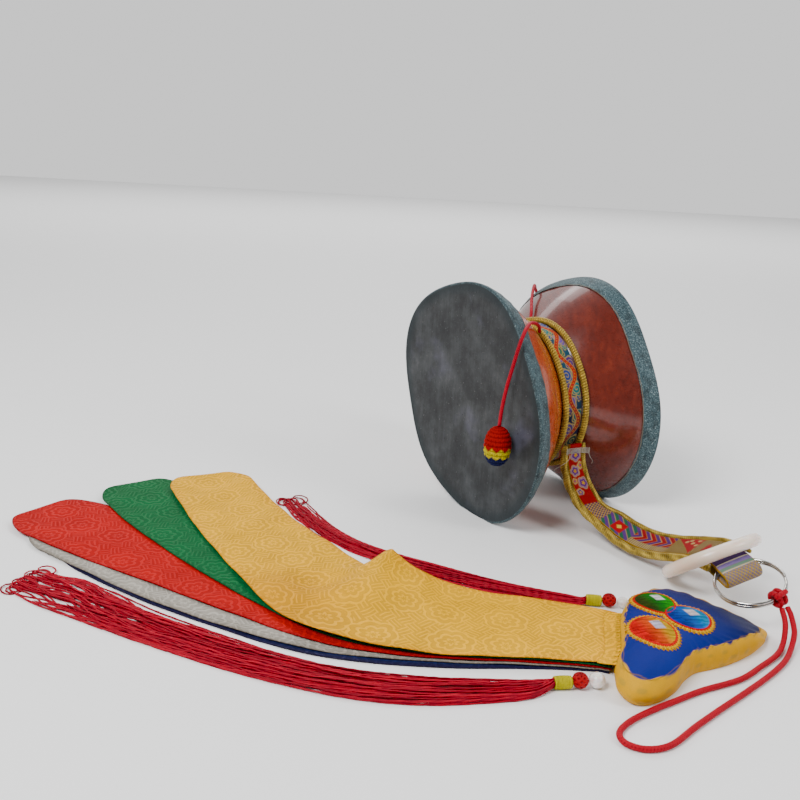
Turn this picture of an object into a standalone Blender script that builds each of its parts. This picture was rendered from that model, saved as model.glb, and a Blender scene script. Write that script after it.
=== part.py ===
"""A large two-headed wooden hand drum of the damaru kind, with its dress.

Two hollow lacquered bowls meet at a narrow waist and carry oval skin heads. A
brocade belt goes round the waist, with two knocker balls on cords and a strap.
The strap goes through a bone ring and folds round a steel ring, whose red cord
holds a stuffed pendant with five silk streamers and two tassels. Everything
lies and stands on one flat surface at z = 0.

Units are metres. Places are written in millimetres on a layout grid that lies
on that surface, and place() turns them into model coordinates.
"""

import math

import bmesh
import bpy
import numpy as np
from mathutils import Matrix, Vector

MM = 0.001
LAYOUT_CENTRE = (-15.6, 765.8)     # grid point that becomes the model's origin

# Gaps between pieces that touch
TOUCH_GAP = 0.0004

# Drum body
HEAD_RADIUS = 0.110               # mean radius of the wooden rim
HEAD_OVAL = ((2, -0.0024, -0.0096), (3, -0.0016, -0.0005), (4, -0.0010, -0.0020), (5, 0.0015, 0.0012))
WAIST_RADIUS = 0.0486
BOWL_DEPTH = 0.0760               # from the waist joint to the wooden rim
BOWL_ROUNDNESS = 1.25             # exponent of the bowl's profile, 1 is a cone
BOWL_WALL = 0.0055
BOWL_BASE = 0.0090                # thickness of the crown at the waist
RIM_CHAMFER = 0.0015
SKIN_THICKNESS = 0.0012
SKIN_SKIRT = 0.0160               # how far the skin is pulled down over the rim
REST_FLAT = 0.0026                # depth of the worn flat that the drum stands on
DRUM_PLACE = (130.0, 890.0)
DRUM_YAW = math.radians(-56.3)    # turns the head's width away from +X

# Belt round the waist
BELT_BAND_HALF_WIDTH = 0.0098
BELT_BAND_THICKNESS = 0.0030
BELT_BRAID_RADIUS = 0.0032
BELT_BRAID_OFFSET = 0.0132        # braid's distance from the waist joint

# Knockers
BALL_RADIUS = 0.0130
BALL_HALF_LENGTH = 0.0190
KNOCKER_CORD_RADIUS = 0.0017

# Strap
STRAP_THICKNESS = 0.0040
STRAP_PANEL_START = 0.0165
STRAP_PANEL_END = 0.0320
ROLL_LEFT_RADIUS = 0.0042
ROLL_RIGHT_RADIUS = 0.0026
STRAP_JOIN_LIFT = 0.0004          # clear of the belt's braids
STRAP_JOIN_ANGLE = math.radians(-24.0)
FOLD_LENGTH = 0.0260              # tail of the strap that is folded back

# Rings
BONE_TUBE_RADIUS = 0.0060
BONE_CLEARANCE = 0.0065
BONE_PLACE = (267.5, 695.5)
BONE_NORMAL = (-0.378, 0.504, 0.777)
STEEL_WIRE_WIDTH = 0.0026
STEEL_WIRE_HEIGHT = 0.0050
STEEL_CLEARANCE = 0.0092
STEEL_KNOT_ANGLE = math.radians(-76.0)

# Red cord
CORD_RADIUS = 0.0021

# Pendant
PENDANT_HEIGHT = 0.0240
PENDANT_TIP_DROP = 0.0105
PENDANT_TIP_REACH = 0.0520
PENDANT_EDGE = 0.0045

# Streamers and tassels
STREAMER_THICKNESS = 0.0010
TASSEL_SKIRT_HEIGHT = 0.0070
KNOT_RADIUS = 0.0058
WRAP_RADIUS = 0.0046
WRAP_LENGTH = 0.0120

# Counts of facets
RIM_POINTS = 36
BOWL_RINGS = 5
CURVE_STEPS = 16

# Routes and outlines, in millimetres on the layout grid unless said otherwise.
# Strap near the drum: outward and up from the place where it joins the belt.
STRAP_FALL = ((0.0, 0.0), (-0.3, -11.0), (2.5, -22.0), (9.0, -34.0), (19.5, -45.0), (34.0, -54.0))
# Strap on the way to the rings: x, y, z, yaw and tilt of its width in degrees.
STRAP_RUN = (
    (203.0, 784.0, 20.0, 35.0, 12.0),
    (216.5, 768.0, 14.8, 36.0, 17.0),
    (230.0, 750.0, 14.5, 35.0, 18.0),
    (243.5, 731.5, 19.5, 31.0, 19.0),
    (256.0, 713.0, 27.5, 26.0, 20.0),
    (266.0, 695.0, 34.5, 21.0, 20.0),
    (273.0, 677.0, 37.0, 18.0, 20.0),
    (278.5, 659.0, 35.0, 17.0, 20.0),
)
# Knocker cords in the drum's own frame: across the head, up, along the axis.
KNOCKER_ROUTE_LEFT = (
    (28.0, 69.3, 17.6), (34.5, 75.5, 24.5), (47.0, 82.0, 40.0), (60.0, 86.0, 58.0), (71.0, 85.0, 72.0),
    (77.0, 79.5, 80.8), (75.5, 70.0, 83.0), (71.5, 50.0, 85.0), (68.5, 30.0, 87.5), (67.2, 10.0, 89.8),
    (67.0, -5.4, 90.9),
)
KNOCKER_ROUTE_RIGHT = (
    (-25.6, 70.4, -17.6), (-33.5, 77.0, -24.5), (-52.0, 85.5, -40.0), (-70.0, 93.0, -57.0),
    (-84.0, 94.0, -71.0), (-93.0, 88.0, -81.0), (-92.0, 79.0, -84.5), (-87.0, 62.0, -86.0),
    (-82.0, 42.0, -87.8), (-79.0, 22.0, -89.4), (-78.0, 6.0, -90.6), (-78.0, -5.4, -90.9),
)
BALL_LEFT = (67.0, -25.0, 91.0)
BALL_RIGHT = (-78.0, -25.0, -91.0)
# Red cord: down from the ring, out, round and back.
CORD_ROUTE = (
    (298.6, 621.2, 22.6), (299.5, 613.5, 14.5), (295.5, 602.5, 6.0), (285.5, 587.5, 3.0), (268.0, 571.0, 2.4),
    (246.0, 552.0, 2.4), (215.0, 536.0, 2.4), (192.0, 521.5, 2.4), (172.0, 508.5, 2.4), (156.0, 496.0, 2.4),
    (147.0, 484.0, 2.4), (149.0, 474.0, 2.4), (161.0, 469.5, 2.4), (177.0, 475.0, 2.4), (198.0, 495.0, 2.4),
    (220.0, 515.0, 2.4), (245.0, 537.0, 2.4), (270.0, 560.0, 2.4), (287.0, 578.0, 2.8), (297.5, 593.5, 4.5),
    (304.0, 606.0, 11.0), (304.5, 616.5, 19.0), (303.1, 622.0, 23.3),
)
CORD_POINTS = 46
KNOCKER_CORD_POINTS = 17
PENDANT_OUTLINE = (
    (287, 618), (277, 597), (262, 583), (246, 572), (230, 564), (217, 558), (206, 547), (196, 533), (182, 520),
    (168, 514), (158, 519), (155, 532), (158, 548), (164, 563), (168, 581), (171, 597), (176, 615), (186, 634),
    (199, 648), (215, 655), (230, 653), (242, 642), (256, 635), (273, 629),
)
# Streamers: x, y, width, height of the near edge and of the far edge.
STREAMERS = {
    "streamer_blue": (
        (168, 589, 76, 0.9, 0.9), (150, 594, 78, 0.9, 0.9), (100, 595, 82, 0.9, 0.9),
        (30, 593, 88, 0.9, 0.9), (-40, 600, 90, 0.9, 0.9),
        (-108, 626, 86, 0.9, 0.9), (-175, 660, 84, 0.9, 0.9), (-233, 697, 80, 0.9, 0.9),
        (-260, 715, 68, 0.9, 0.9), (-282, 730, 36, 0.9, 0.9),
    ),
    "streamer_white": (
        (168, 589, 76, 2.5, 2.5), (150, 594, 78, 2.5, 2.5), (100, 597, 82, 2.5, 2.5),
        (30, 598, 88, 2.5, 2.5), (-38, 605, 92, 2.5, 2.5),
        (-105, 629, 90, 2.5, 2.5), (-172, 662, 86, 2.5, 2.5), (-232, 700, 84, 2.5, 2.5),
        (-276, 729, 82, 2.5, 2.5), (-305, 749, 38, 2.5, 2.5),
    ),
    "streamer_red": (
        (168, 589, 76, 4.1, 4.1), (150, 594, 78, 4.1, 4.1), (100, 598, 82, 4.1, 4.1),
        (30, 600, 88, 4.1, 4.1), (-30, 611, 92, 4.1, 4.1),
        (-95, 642, 90, 4.1, 4.1), (-171, 683, 88, 4.1, 4.1), (-240, 721, 88, 4.1, 4.1),
        (-300, 757, 86, 4.1, 4.1), (-330, 777, 42, 4.1, 4.1),
    ),
    "streamer_green": (
        (168, 589, 76, 5.7, 5.7), (150, 594, 78, 5.7, 5.7), (100, 599, 82, 5.7, 5.7),
        (35, 602, 88, 5.7, 5.7), (-22, 617, 92, 5.7, 5.7),
        (-78, 655, 88, 5.7, 5.7), (-145, 713, 84, 5.7, 5.7), (-204, 774, 84, 5.7, 5.7),
        (-244, 822, 82, 5.7, 5.7), (-264, 848, 40, 5.7, 5.7),
    ),
    "streamer_yellow": (
        (168, 589, 76, 8.2, 8.2), (150, 594, 79, 8.2, 8.2), (105, 600, 88, 8.2, 8.2),
        (50, 604, 98, 7.4, 9.5), (12, 610, 104, 7.4, 17.0),
        (-16, 618, 106, 7.4, 29.0), (-34, 628, 106, 7.4, 27.0), (-54, 645, 102, 7.4, 11.0),
        (-72, 668, 98, 7.4, 7.4), (-97, 702, 92, 7.4, 7.4), (-128, 748, 87, 7.4, 7.4), (-158, 798, 84, 7.4, 7.4),
        (-184, 846, 82, 7.4, 7.4), (-199, 873, 42, 7.4, 7.4),
    ),
}
# Tassels: pearl, knot and wrap along a line, then the skirt's x, y and width.
NEAR_PEARL = (143.0, 536.0)
NEAR_PEARL_RADIUS = 0.0056
NEAR_DIRECTION = math.radians(188.0)
NEAR_SKIRT = (
    (110.5, 531.2, 12), (90, 526, 22), (55, 522, 27), (15, 520, 30), (-25, 524, 31), (-65, 535, 31),
    (-105, 550, 32), (-145, 568, 33), (-185, 588, 35), (-222, 609, 38), (-252, 626, 40), (-284, 641, 30),
)
FAR_PEARL = (186.0, 650.5)
FAR_PEARL_RADIUS = 0.0046
FAR_DIRECTION = math.radians(176.0)
FAR_SKIRT = (
    (153.5, 653.0, 12), (128, 659, 18), (92, 671, 20), (48, 690, 20), (4, 712, 20), (-32, 736, 20),
    (-60, 764, 20), (-82, 797, 20), (-100, 832, 16),
)


def place(x, y, z):
    """Turn a layout point in millimetres into a point of the model in metres."""
    return Vector(((x - LAYOUT_CENTRE[0]) * MM, (y - LAYOUT_CENTRE[1]) * MM, z * MM))


def smooth_rows(points, count):
    """Read evenly spaced rows from a smooth curve through the given rows."""
    rows = np.array(points, dtype=float)
    padded = np.vstack([2 * rows[0] - rows[1], rows, 2 * rows[-1] - rows[-2]])
    dense = []
    for index in range(len(rows) - 1):
        before, start, end, after = padded[index:index + 4]
        for step in range(CURVE_STEPS):
            t = step / CURVE_STEPS
            linear = (end - before) * t
            square = (2 * before - 5 * start + 4 * end - after) * t * t
            cube = (3 * start - before - 3 * end + after) * t ** 3
            dense.append(0.5 * (2 * start + linear + square + cube))
    dense.append(rows[-1])
    dense = np.array(dense)
    steps = np.linalg.norm(np.diff(dense[:, :3], axis=0), axis=1)
    lengths = np.concatenate([[0.0], np.cumsum(steps)])
    wanted = np.linspace(0.0, lengths[-1], count)
    return np.column_stack([np.interp(wanted, lengths, column) for column in dense.T])


def finish(name, colour, roughness, metallic=0.0):
    """Make one plain material."""
    material = bpy.data.materials.new(name)
    material.use_nodes = True
    shader = material.node_tree.nodes["Principled BSDF"]
    shader.inputs["Base Color"].default_value = (*colour, 1.0)
    shader.inputs["Roughness"].default_value = roughness
    shader.inputs["Metallic"].default_value = metallic
    return material


def add_object(name, data, material, collection):
    """Link one object with its material."""
    data.materials.append(material)
    piece = bpy.data.objects.new(name, data)
    collection.objects.link(piece)
    return piece


def loft(name, rings, material, collection, cyclic=False, turned=0):
    """Join closed rings of points into one closed body, in their order.

    The first bands, as many as turned says, are split along the other diagonal,
    so that an inner face that runs back matches the face it lies on.
    """
    mesh = bmesh.new()
    loops = [[mesh.verts.new(point) for point in ring] for ring in rings]
    pairs = list(zip(loops, loops[1:]))
    if cyclic:
        pairs.append((loops[-1], loops[0]))
    for band, (lower, upper) in enumerate(pairs):
        for index, corner in enumerate(lower):
            following = (index + 1) % len(lower)
            if band < turned:
                mesh.faces.new((corner, lower[following], upper[index]))
                mesh.faces.new((lower[following], upper[following], upper[index]))
            else:
                mesh.faces.new((corner, lower[following], upper[following]))
                mesh.faces.new((corner, upper[following], upper[index]))
    if not cyclic:
        mesh.faces.new(list(reversed(loops[0])))
        mesh.faces.new(loops[-1])
    bmesh.ops.recalc_face_normals(mesh, faces=mesh.faces)
    data = bpy.data.meshes.new(name)
    mesh.to_mesh(data)
    mesh.free()
    return add_object(name, data, material, collection)


def tube(name, points, radius, material, collection, cyclic=False, resolution=2):
    """Make a round tube along points, with closed ends."""
    curve = bpy.data.curves.new(name, "CURVE")
    curve.dimensions = "3D"
    curve.bevel_depth = radius
    curve.bevel_resolution = resolution
    curve.use_fill_caps = not cyclic
    spline = curve.splines.new("POLY")
    spline.points.add(len(points) - 1)
    for target, point in zip(spline.points, points):
        target.co = (*point, 1.0)
    spline.use_cyclic_u = cyclic
    return add_object(name, curve, material, collection)


def ball(name, centre, radii, material, collection, turn=None):
    """Make an ellipsoid with few facets."""
    mesh = bmesh.new()
    bmesh.ops.create_uvsphere(mesh, u_segments=12, v_segments=8, radius=1.0)
    bmesh.ops.scale(mesh, vec=radii, verts=mesh.verts)
    if turn is not None:
        bmesh.ops.rotate(mesh, matrix=turn, verts=mesh.verts)
    data = bpy.data.meshes.new(name)
    mesh.to_mesh(data)
    mesh.free()
    data.shade_smooth()
    piece = add_object(name, data, material, collection)
    piece.location = centre
    return piece


def rim_radius(angle):
    """Give the wooden rim's radius at an angle, an oval with a slight point."""
    waves = sum(cosine * math.cos(order * angle) + sine * math.sin(order * angle)
                for order, cosine, sine in HEAD_OVAL)
    return HEAD_RADIUS + waves


def bowl_radius(angle, depth):
    """Give the bowl's outer radius at a depth from the waist joint."""
    share = min(max(depth / BOWL_DEPTH, 0.0), 1.0)
    swell = (1.0 - (1.0 - share) ** BOWL_ROUNDNESS) ** (1.0 / BOWL_ROUNDNESS)
    return WAIST_RADIUS + (rim_radius(angle) - WAIST_RADIUS) * swell


def rim_angles():
    """Give the angles at which every turned ring is sampled."""
    return [2.0 * math.pi * index / RIM_POINTS for index in range(RIM_POINTS)]


SKIN_OFFSET = TOUCH_GAP + SKIN_THICKNESS
AXIS_HEIGHT = max(-(rim_radius(a) + SKIN_OFFSET) * math.sin(a) for a in rim_angles()) - REST_FLAT
HEAD_PLANE = BOWL_DEPTH + SKIN_OFFSET


def oval_ring(depth, outset, side, level, inset_wall=0.0):
    """Give one ring round the drum, flattened where it meets the surface."""
    ring = []
    for angle in rim_angles():
        radius = bowl_radius(angle, depth) + outset
        along = depth
        if inset_wall > 0.0:
            step = 0.0005
            slope = (bowl_radius(angle, depth) - bowl_radius(angle, depth - step)) / step
            scale = inset_wall / math.hypot(1.0, slope)
            radius -= scale
            along += scale * slope
        up = max(radius * math.sin(angle), -level)
        ring.append(Vector((radius * math.cos(angle), up, side * min(along, BOWL_DEPTH))))
    return ring if side > 0 else ring[::-1]


def lifted(ring, side, height):
    """Move a whole ring to one height along the drum's axis."""
    return [Vector((point.x, point.y, side * height)) for point in ring]


def bowl_depths():
    """Give the depths of the rings, with the skin's lower edge on one of them."""
    skirt_top = BOWL_DEPTH - SKIN_SKIRT
    body = [skirt_top * (index / BOWL_RINGS) ** 1.35 for index in range(BOWL_RINGS)]
    return body + [skirt_top, BOWL_DEPTH - SKIN_SKIRT * 0.25, BOWL_DEPTH - RIM_CHAMFER]


def make_bowl(name, side, material, collection, drum):
    """Turn one hollow bowl, open towards its head."""
    level = AXIS_HEIGHT - SKIN_OFFSET
    depths = bowl_depths()
    joint = TOUCH_GAP / 2.0
    rings = [lifted(oval_ring(0.0, 0.0, side, level), side, joint)]
    rings += [oval_ring(depth, 0.0, side, level) for depth in depths[1:]]
    rings.append(lifted(oval_ring(BOWL_DEPTH, -RIM_CHAMFER, side, level - RIM_CHAMFER), side, BOWL_DEPTH))
    inner_level = level - BOWL_WALL
    rings.append(lifted(oval_ring(BOWL_DEPTH, -BOWL_WALL, side, inner_level), side, BOWL_DEPTH))
    for depth in reversed(depths[2:-1]):
        rings.append(oval_ring(depth, 0.0, side, inner_level, BOWL_WALL))
    rings.append(lifted(oval_ring(BOWL_BASE, -BOWL_WALL * 1.6, side, inner_level), side, BOWL_BASE))
    piece = loft(name, rings, material, collection)
    piece.parent = drum


def make_head(name, side, material, collection, drum):
    """Stretch one skin over the rim and down its side."""
    inner_level = AXIS_HEIGHT - SKIN_THICKNESS
    depths = bowl_depths()[-3:]
    inner_face = BOWL_DEPTH + TOUCH_GAP
    inner = [lifted(oval_ring(BOWL_DEPTH, TOUCH_GAP - RIM_CHAMFER, side, inner_level - RIM_CHAMFER),
                    side, inner_face)]
    inner += [oval_ring(depth, TOUCH_GAP, side, inner_level) for depth in reversed(depths)]
    outer = [oval_ring(depth, SKIN_OFFSET, side, AXIS_HEIGHT) for depth in depths]
    outer.append(lifted(oval_ring(BOWL_DEPTH, SKIN_OFFSET - RIM_CHAMFER, side, AXIS_HEIGHT - RIM_CHAMFER),
                        side, HEAD_PLANE))
    piece = loft(name, inner + outer, material, collection, turned=len(inner) - 1)
    piece.parent = drum


def braid_ring(offset):
    """Give the centreline of a belt braid, which lies on the bowl's flank."""
    points = []
    step = 0.0005
    for angle in rim_angles():
        depth = abs(offset)
        radius = bowl_radius(angle, depth)
        slope = (bowl_radius(angle, depth + step) - radius) / step
        lift = (BELT_BRAID_RADIUS + TOUCH_GAP) * math.hypot(1.0, slope) * 1.05
        points.append(Vector(((radius + lift) * math.cos(angle), (radius + lift) * math.sin(angle), offset)))
    return points


def belt_face(angle):
    """Give the radius of the braids' outer face at an angle."""
    step = 0.0005
    radius = bowl_radius(angle, BELT_BRAID_OFFSET)
    slope = (bowl_radius(angle, BELT_BRAID_OFFSET + step) - radius) / step
    return radius + (BELT_BRAID_RADIUS + TOUCH_GAP) * math.hypot(1.0, slope) * 1.05 + BELT_BRAID_RADIUS


def make_belt(materials, collection, drum):
    """Wrap the brocade band and its two gold braids round the waist."""
    rings = []
    for angle in rim_angles():
        outer = belt_face(angle) - BELT_BRAID_RADIUS * 1.6
        inner = outer - BELT_BAND_THICKNESS
        half = BELT_BAND_HALF_WIDTH
        direction = Vector((math.cos(angle), math.sin(angle), 0.0))
        axis = Vector((0.0, 0.0, 1.0))
        rings.append([direction * inner - axis * half, direction * outer - axis * half,
                      direction * outer + axis * half, direction * inner + axis * half])
    band = loft("waist_belt", rings, materials["brocade"], collection, cyclic=True)
    band.parent = drum
    for name, offset in (("belt_braid_left", BELT_BRAID_OFFSET), ("belt_braid_right", -BELT_BRAID_OFFSET)):
        braid = tube(name, braid_ring(offset), BELT_BRAID_RADIUS, materials["gold"], collection,
                     cyclic=True, resolution=1)
        braid.parent = drum


def make_knockers(materials, collection, drum):
    """Hang one crocheted ball on its cord in front of each head."""
    sides = (("left", KNOCKER_ROUTE_LEFT, BALL_LEFT), ("right", KNOCKER_ROUTE_RIGHT, BALL_RIGHT))
    for side, route, centre in sides:
        rows = smooth_rows(route, KNOCKER_CORD_POINTS)
        cord = tube("knocker_cord_" + side, [Vector(row) * MM for row in rows], KNOCKER_CORD_RADIUS,
                    materials["red"], collection)
        cord.parent = drum
        radii = (BALL_RADIUS, BALL_HALF_LENGTH, BALL_RADIUS)
        knob = ball("knocker_ball_" + side, Vector(centre) * MM, radii, materials["red"], collection)
        knob.parent = drum


def drum_direction():
    """Give the horizontal direction in which the belt faces the strap."""
    return Vector((math.cos(DRUM_YAW), math.sin(DRUM_YAW), 0.0))


def strap_rows():
    """Give the strap's centreline: point, yaw and tilt, and its panel's width."""
    outward = drum_direction()
    start = belt_face(STRAP_JOIN_ANGLE) + STRAP_JOIN_LIFT + ROLL_LEFT_RADIUS
    yaw = math.degrees(DRUM_YAW) + 90.0
    rows = []
    for lean, rise in STRAP_FALL:
        reach = start * math.cos(STRAP_JOIN_ANGLE) / MM + lean
        height = (AXIS_HEIGHT + start * math.sin(STRAP_JOIN_ANGLE)) / MM + rise
        x = DRUM_PLACE[0] + outward.x * reach
        y = DRUM_PLACE[1] + outward.y * reach
        rows.append((x, y, height, yaw, 0.0))
    rows += STRAP_RUN
    return smooth_rows(rows, 26)


def strap_frame(rows, index):
    """Give the place, the heading, the width and the face direction of the strap."""
    before = rows[max(index - 1, 0)][:3]
    after = rows[min(index + 1, len(rows) - 1)][:3]
    heading = Vector(after - before).normalized()
    yaw = math.radians(rows[index][3])
    tilt = math.radians(rows[index][4])
    across = Vector((math.cos(yaw) * math.cos(tilt), math.sin(yaw) * math.cos(tilt), math.sin(tilt)))
    across = (across - heading * across.dot(heading)).normalized()
    return place(*rows[index][:3]), heading, across, heading.cross(across)


def panel_width(index, count):
    """Give the width of the brocade panel, which widens towards the rings."""
    share = index / (count - 1)
    return STRAP_PANEL_START + (STRAP_PANEL_END - STRAP_PANEL_START) * share


def section(centre, across, face, width, thickness):
    """Give the four corners of a flat band's cross-section."""
    side = across * (width / 2.0)
    rise = face * (thickness / 2.0)
    return [centre - side - rise, centre + side - rise, centre + side + rise, centre - side + rise]


def fold_radius():
    """Give the distance from the steel ring's plane to the middle of each layer."""
    return STEEL_WIRE_HEIGHT / 2.0 + TOUCH_GAP + STRAP_THICKNESS / 2.0


def strap_end():
    """Give the fold's centre and directions, which the steel ring shares."""
    rows = strap_rows()
    centre, heading, across, face = strap_frame(rows, len(rows) - 1)
    return centre - face * fold_radius(), heading, across, face


def make_strap(materials, collection):
    """Run the strap from the belt to the steel ring and fold it back."""
    rows = strap_rows()
    count = len(rows)
    sections = []
    for index in range(count):
        centre, heading, across, face = strap_frame(rows, index)
        sections.append(section(centre, across, face, panel_width(index, count), STRAP_THICKNESS))
    pivot, heading, across, face = strap_end()
    radius = fold_radius()
    for step in range(1, 7):
        angle = math.pi * step / 6.0
        outward = face * math.cos(angle) + heading * math.sin(angle)
        sections.append(section(pivot + outward * radius, across, outward, STRAP_PANEL_END, STRAP_THICKNESS))
    tail = pivot - face * radius - heading * FOLD_LENGTH
    sections.append(section(tail, across, -face, STRAP_PANEL_END, STRAP_THICKNESS))
    loft("strap", sections, materials["brocade"], collection)
    sides = (("strap_roll_left", -1.0, ROLL_LEFT_RADIUS), ("strap_roll_right", 1.0, ROLL_RIGHT_RADIUS))
    for name, side, radius in sides:
        points = []
        for index in range(count - 2):
            centre, heading, across, face = strap_frame(rows, index)
            reach = panel_width(index, count) / 2.0 + TOUCH_GAP + radius
            points.append(centre + across * (side * reach))
        tube(name, points, radius, materials["gold"], collection, resolution=1)


def turn_to(normal):
    """Give the rotation that takes +Z to a direction."""
    return Vector((0.0, 0.0, 1.0)).rotation_difference(Vector(normal).normalized()).to_matrix()


def bone_ring_radius():
    """Give the radius of the bone ring's tube circle, clear of the strap."""
    strap_half = STRAP_PANEL_END / 2.0 + 2.0 * max(ROLL_LEFT_RADIUS, ROLL_RIGHT_RADIUS)
    return strap_half + BONE_CLEARANCE + BONE_TUBE_RADIUS


def make_bone_ring(material, collection):
    """Lean the bone ring on the surface, with the strap passing through it."""
    radius = bone_ring_radius()
    normal = Vector(BONE_NORMAL).normalized()
    height = BONE_TUBE_RADIUS + radius * math.hypot(normal.x, normal.y)
    bpy.ops.mesh.primitive_torus_add(major_segments=32, minor_segments=10, major_radius=radius,
                                     minor_radius=BONE_TUBE_RADIUS)
    data = bpy.context.object.data
    bpy.data.objects.remove(bpy.context.object)
    piece = add_object("bone_ring", data, material, collection)
    piece.location = place(BONE_PLACE[0], BONE_PLACE[1], height / MM)
    piece.rotation_euler = turn_to(normal).to_euler()


def steel_inner_radius():
    """Give the steel ring's inner radius, wide enough for the strap's fold."""
    return STRAP_PANEL_END / 2.0 + STEEL_CLEARANCE


def steel_centre():
    """Give the steel ring's centre, which the fold nearly reaches."""
    pivot, heading, across, face = strap_end()
    return pivot + heading * (STRAP_THICKNESS + 0.3 * steel_inner_radius())


def make_steel_ring(material, collection):
    """Turn the steel ring in the plane of the strap's fold."""
    pivot, heading, across, face = strap_end()
    inner = steel_inner_radius()
    outer = inner + STEEL_WIRE_WIDTH
    half = STEEL_WIRE_HEIGHT / 2.0
    centre = steel_centre()
    rings = []
    for index in range(36):
        angle = 2.0 * math.pi * index / 36
        direction = across * math.cos(angle) + heading * math.sin(angle)
        rings.append([centre + direction * inner - face * half, centre + direction * outer - face * half,
                      centre + direction * outer + face * half, centre + direction * inner + face * half])
    loft("steel_ring", rings, material, collection, cyclic=True)


def make_red_cord(materials, collection):
    """Hitch the red cord round the steel ring and lay its loop on the surface."""
    pivot, heading, across, face = strap_end()
    wire = steel_inner_radius() + STEEL_WIRE_WIDTH / 2.0
    angle = -STEEL_KNOT_ANGLE
    outward = across * math.cos(angle) + heading * math.sin(angle)
    hold = math.hypot(STEEL_WIRE_WIDTH, STEEL_WIRE_HEIGHT) / 2.0 + TOUCH_GAP + CORD_RADIUS
    middle = steel_centre() + outward * wire
    points = []
    for index in range(14):
        turn = 2.0 * math.pi * index / 14
        points.append(middle + (outward * math.cos(turn) + face * math.sin(turn)) * hold)
    tube("cord_hitch", points, CORD_RADIUS, materials["red"], collection, cyclic=True, resolution=1)
    rows = smooth_rows(CORD_ROUTE, CORD_POINTS)
    tube("cord_loop", [place(*row) for row in rows], CORD_RADIUS, materials["red"], collection)


def make_pendant(material, collection):
    """Stuff the three-lobed pendant, thinner towards its tip."""
    closed = PENDANT_OUTLINE[-2:] + PENDANT_OUTLINE + PENDANT_OUTLINE[:3]
    rows = smooth_rows([(x, y, 0.0) for x, y in closed], 2 * len(closed))
    tip = np.array(PENDANT_OUTLINE[0], dtype=float)
    middle = np.array(PENDANT_OUTLINE, dtype=float).mean(axis=0)
    start = int(np.argmin(np.linalg.norm(rows[:len(rows) // 3, :2] - tip, axis=1)))
    end = start + int(np.argmin(np.linalg.norm(rows[start + len(rows) // 2:, :2] - tip, axis=1)))
    end += len(rows) // 2
    outline = rows[start:end, :2][::-1]
    levels = ((0.93, 0.0, 0.0003), (1.0, 0.0, PENDANT_EDGE), (1.0, 1.0, -PENDANT_EDGE), (0.94, 1.0, -0.0010),
              (0.55, 1.0, 0.0))
    rings = []
    for scale, share, rise in levels:
        ring = []
        for point in outline:
            spot = middle + (point - middle) * scale
            away = min(np.linalg.norm(spot - tip) * MM / PENDANT_TIP_REACH, 1.0)
            top = PENDANT_HEIGHT - PENDANT_TIP_DROP * (1.0 - away * away * (3.0 - 2.0 * away))
            ring.append(place(spot[0], spot[1], (share * top + rise) / MM))
        rings.append(ring)
    loft("pendant", rings, material, collection)


def band_sections(rows, thickness):
    """Give the cross-sections of a cloth band from its centreline table."""
    sections = []
    for index, row in enumerate(rows):
        before = rows[max(index - 1, 0)]
        after = rows[min(index + 1, len(rows) - 1)]
        heading = Vector((after[0] - before[0], after[1] - before[1], 0.0)).normalized()
        across = Vector((heading.y, -heading.x, 0.0))
        half = row[2] / 2.0
        far = place(row[0] + across.x * half, row[1] + across.y * half, row[4])
        near = place(row[0] - across.x * half, row[1] - across.y * half, row[3])
        rise = Vector((0.0, 0.0, thickness / 2.0))
        sections.append([near - rise, far - rise, far + rise, near + rise])
    return sections


def make_streamers(materials, collection):
    """Lay the five silk bands over each other, each on its own level."""
    for name, rows in STREAMERS.items():
        loft(name, band_sections(rows, STREAMER_THICKNESS), materials[name], collection)


def skirt_sections(rows, height):
    """Give the oval cross-sections of a tassel's skirt of threads."""
    sections = []
    for index, row in enumerate(rows):
        before = rows[max(index - 1, 0)]
        after = rows[min(index + 1, len(rows) - 1)]
        heading = Vector((after[0] - before[0], after[1] - before[1], 0.0)).normalized()
        across = Vector((heading.y, -heading.x, 0.0))
        ring = []
        for corner in range(8):
            angle = 2.0 * math.pi * (corner + 0.5) / 8
            side = math.cos(angle) * row[2] / 2.0
            rise = (1.0 + math.sin(angle) / math.sin(math.pi * 3.0 / 8.0)) * height / 2.0
            ring.append(place(row[0] + across.x * side, row[1] + across.y * side, rise / MM + 0.3))
        sections.append(ring)
    return sections


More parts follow.
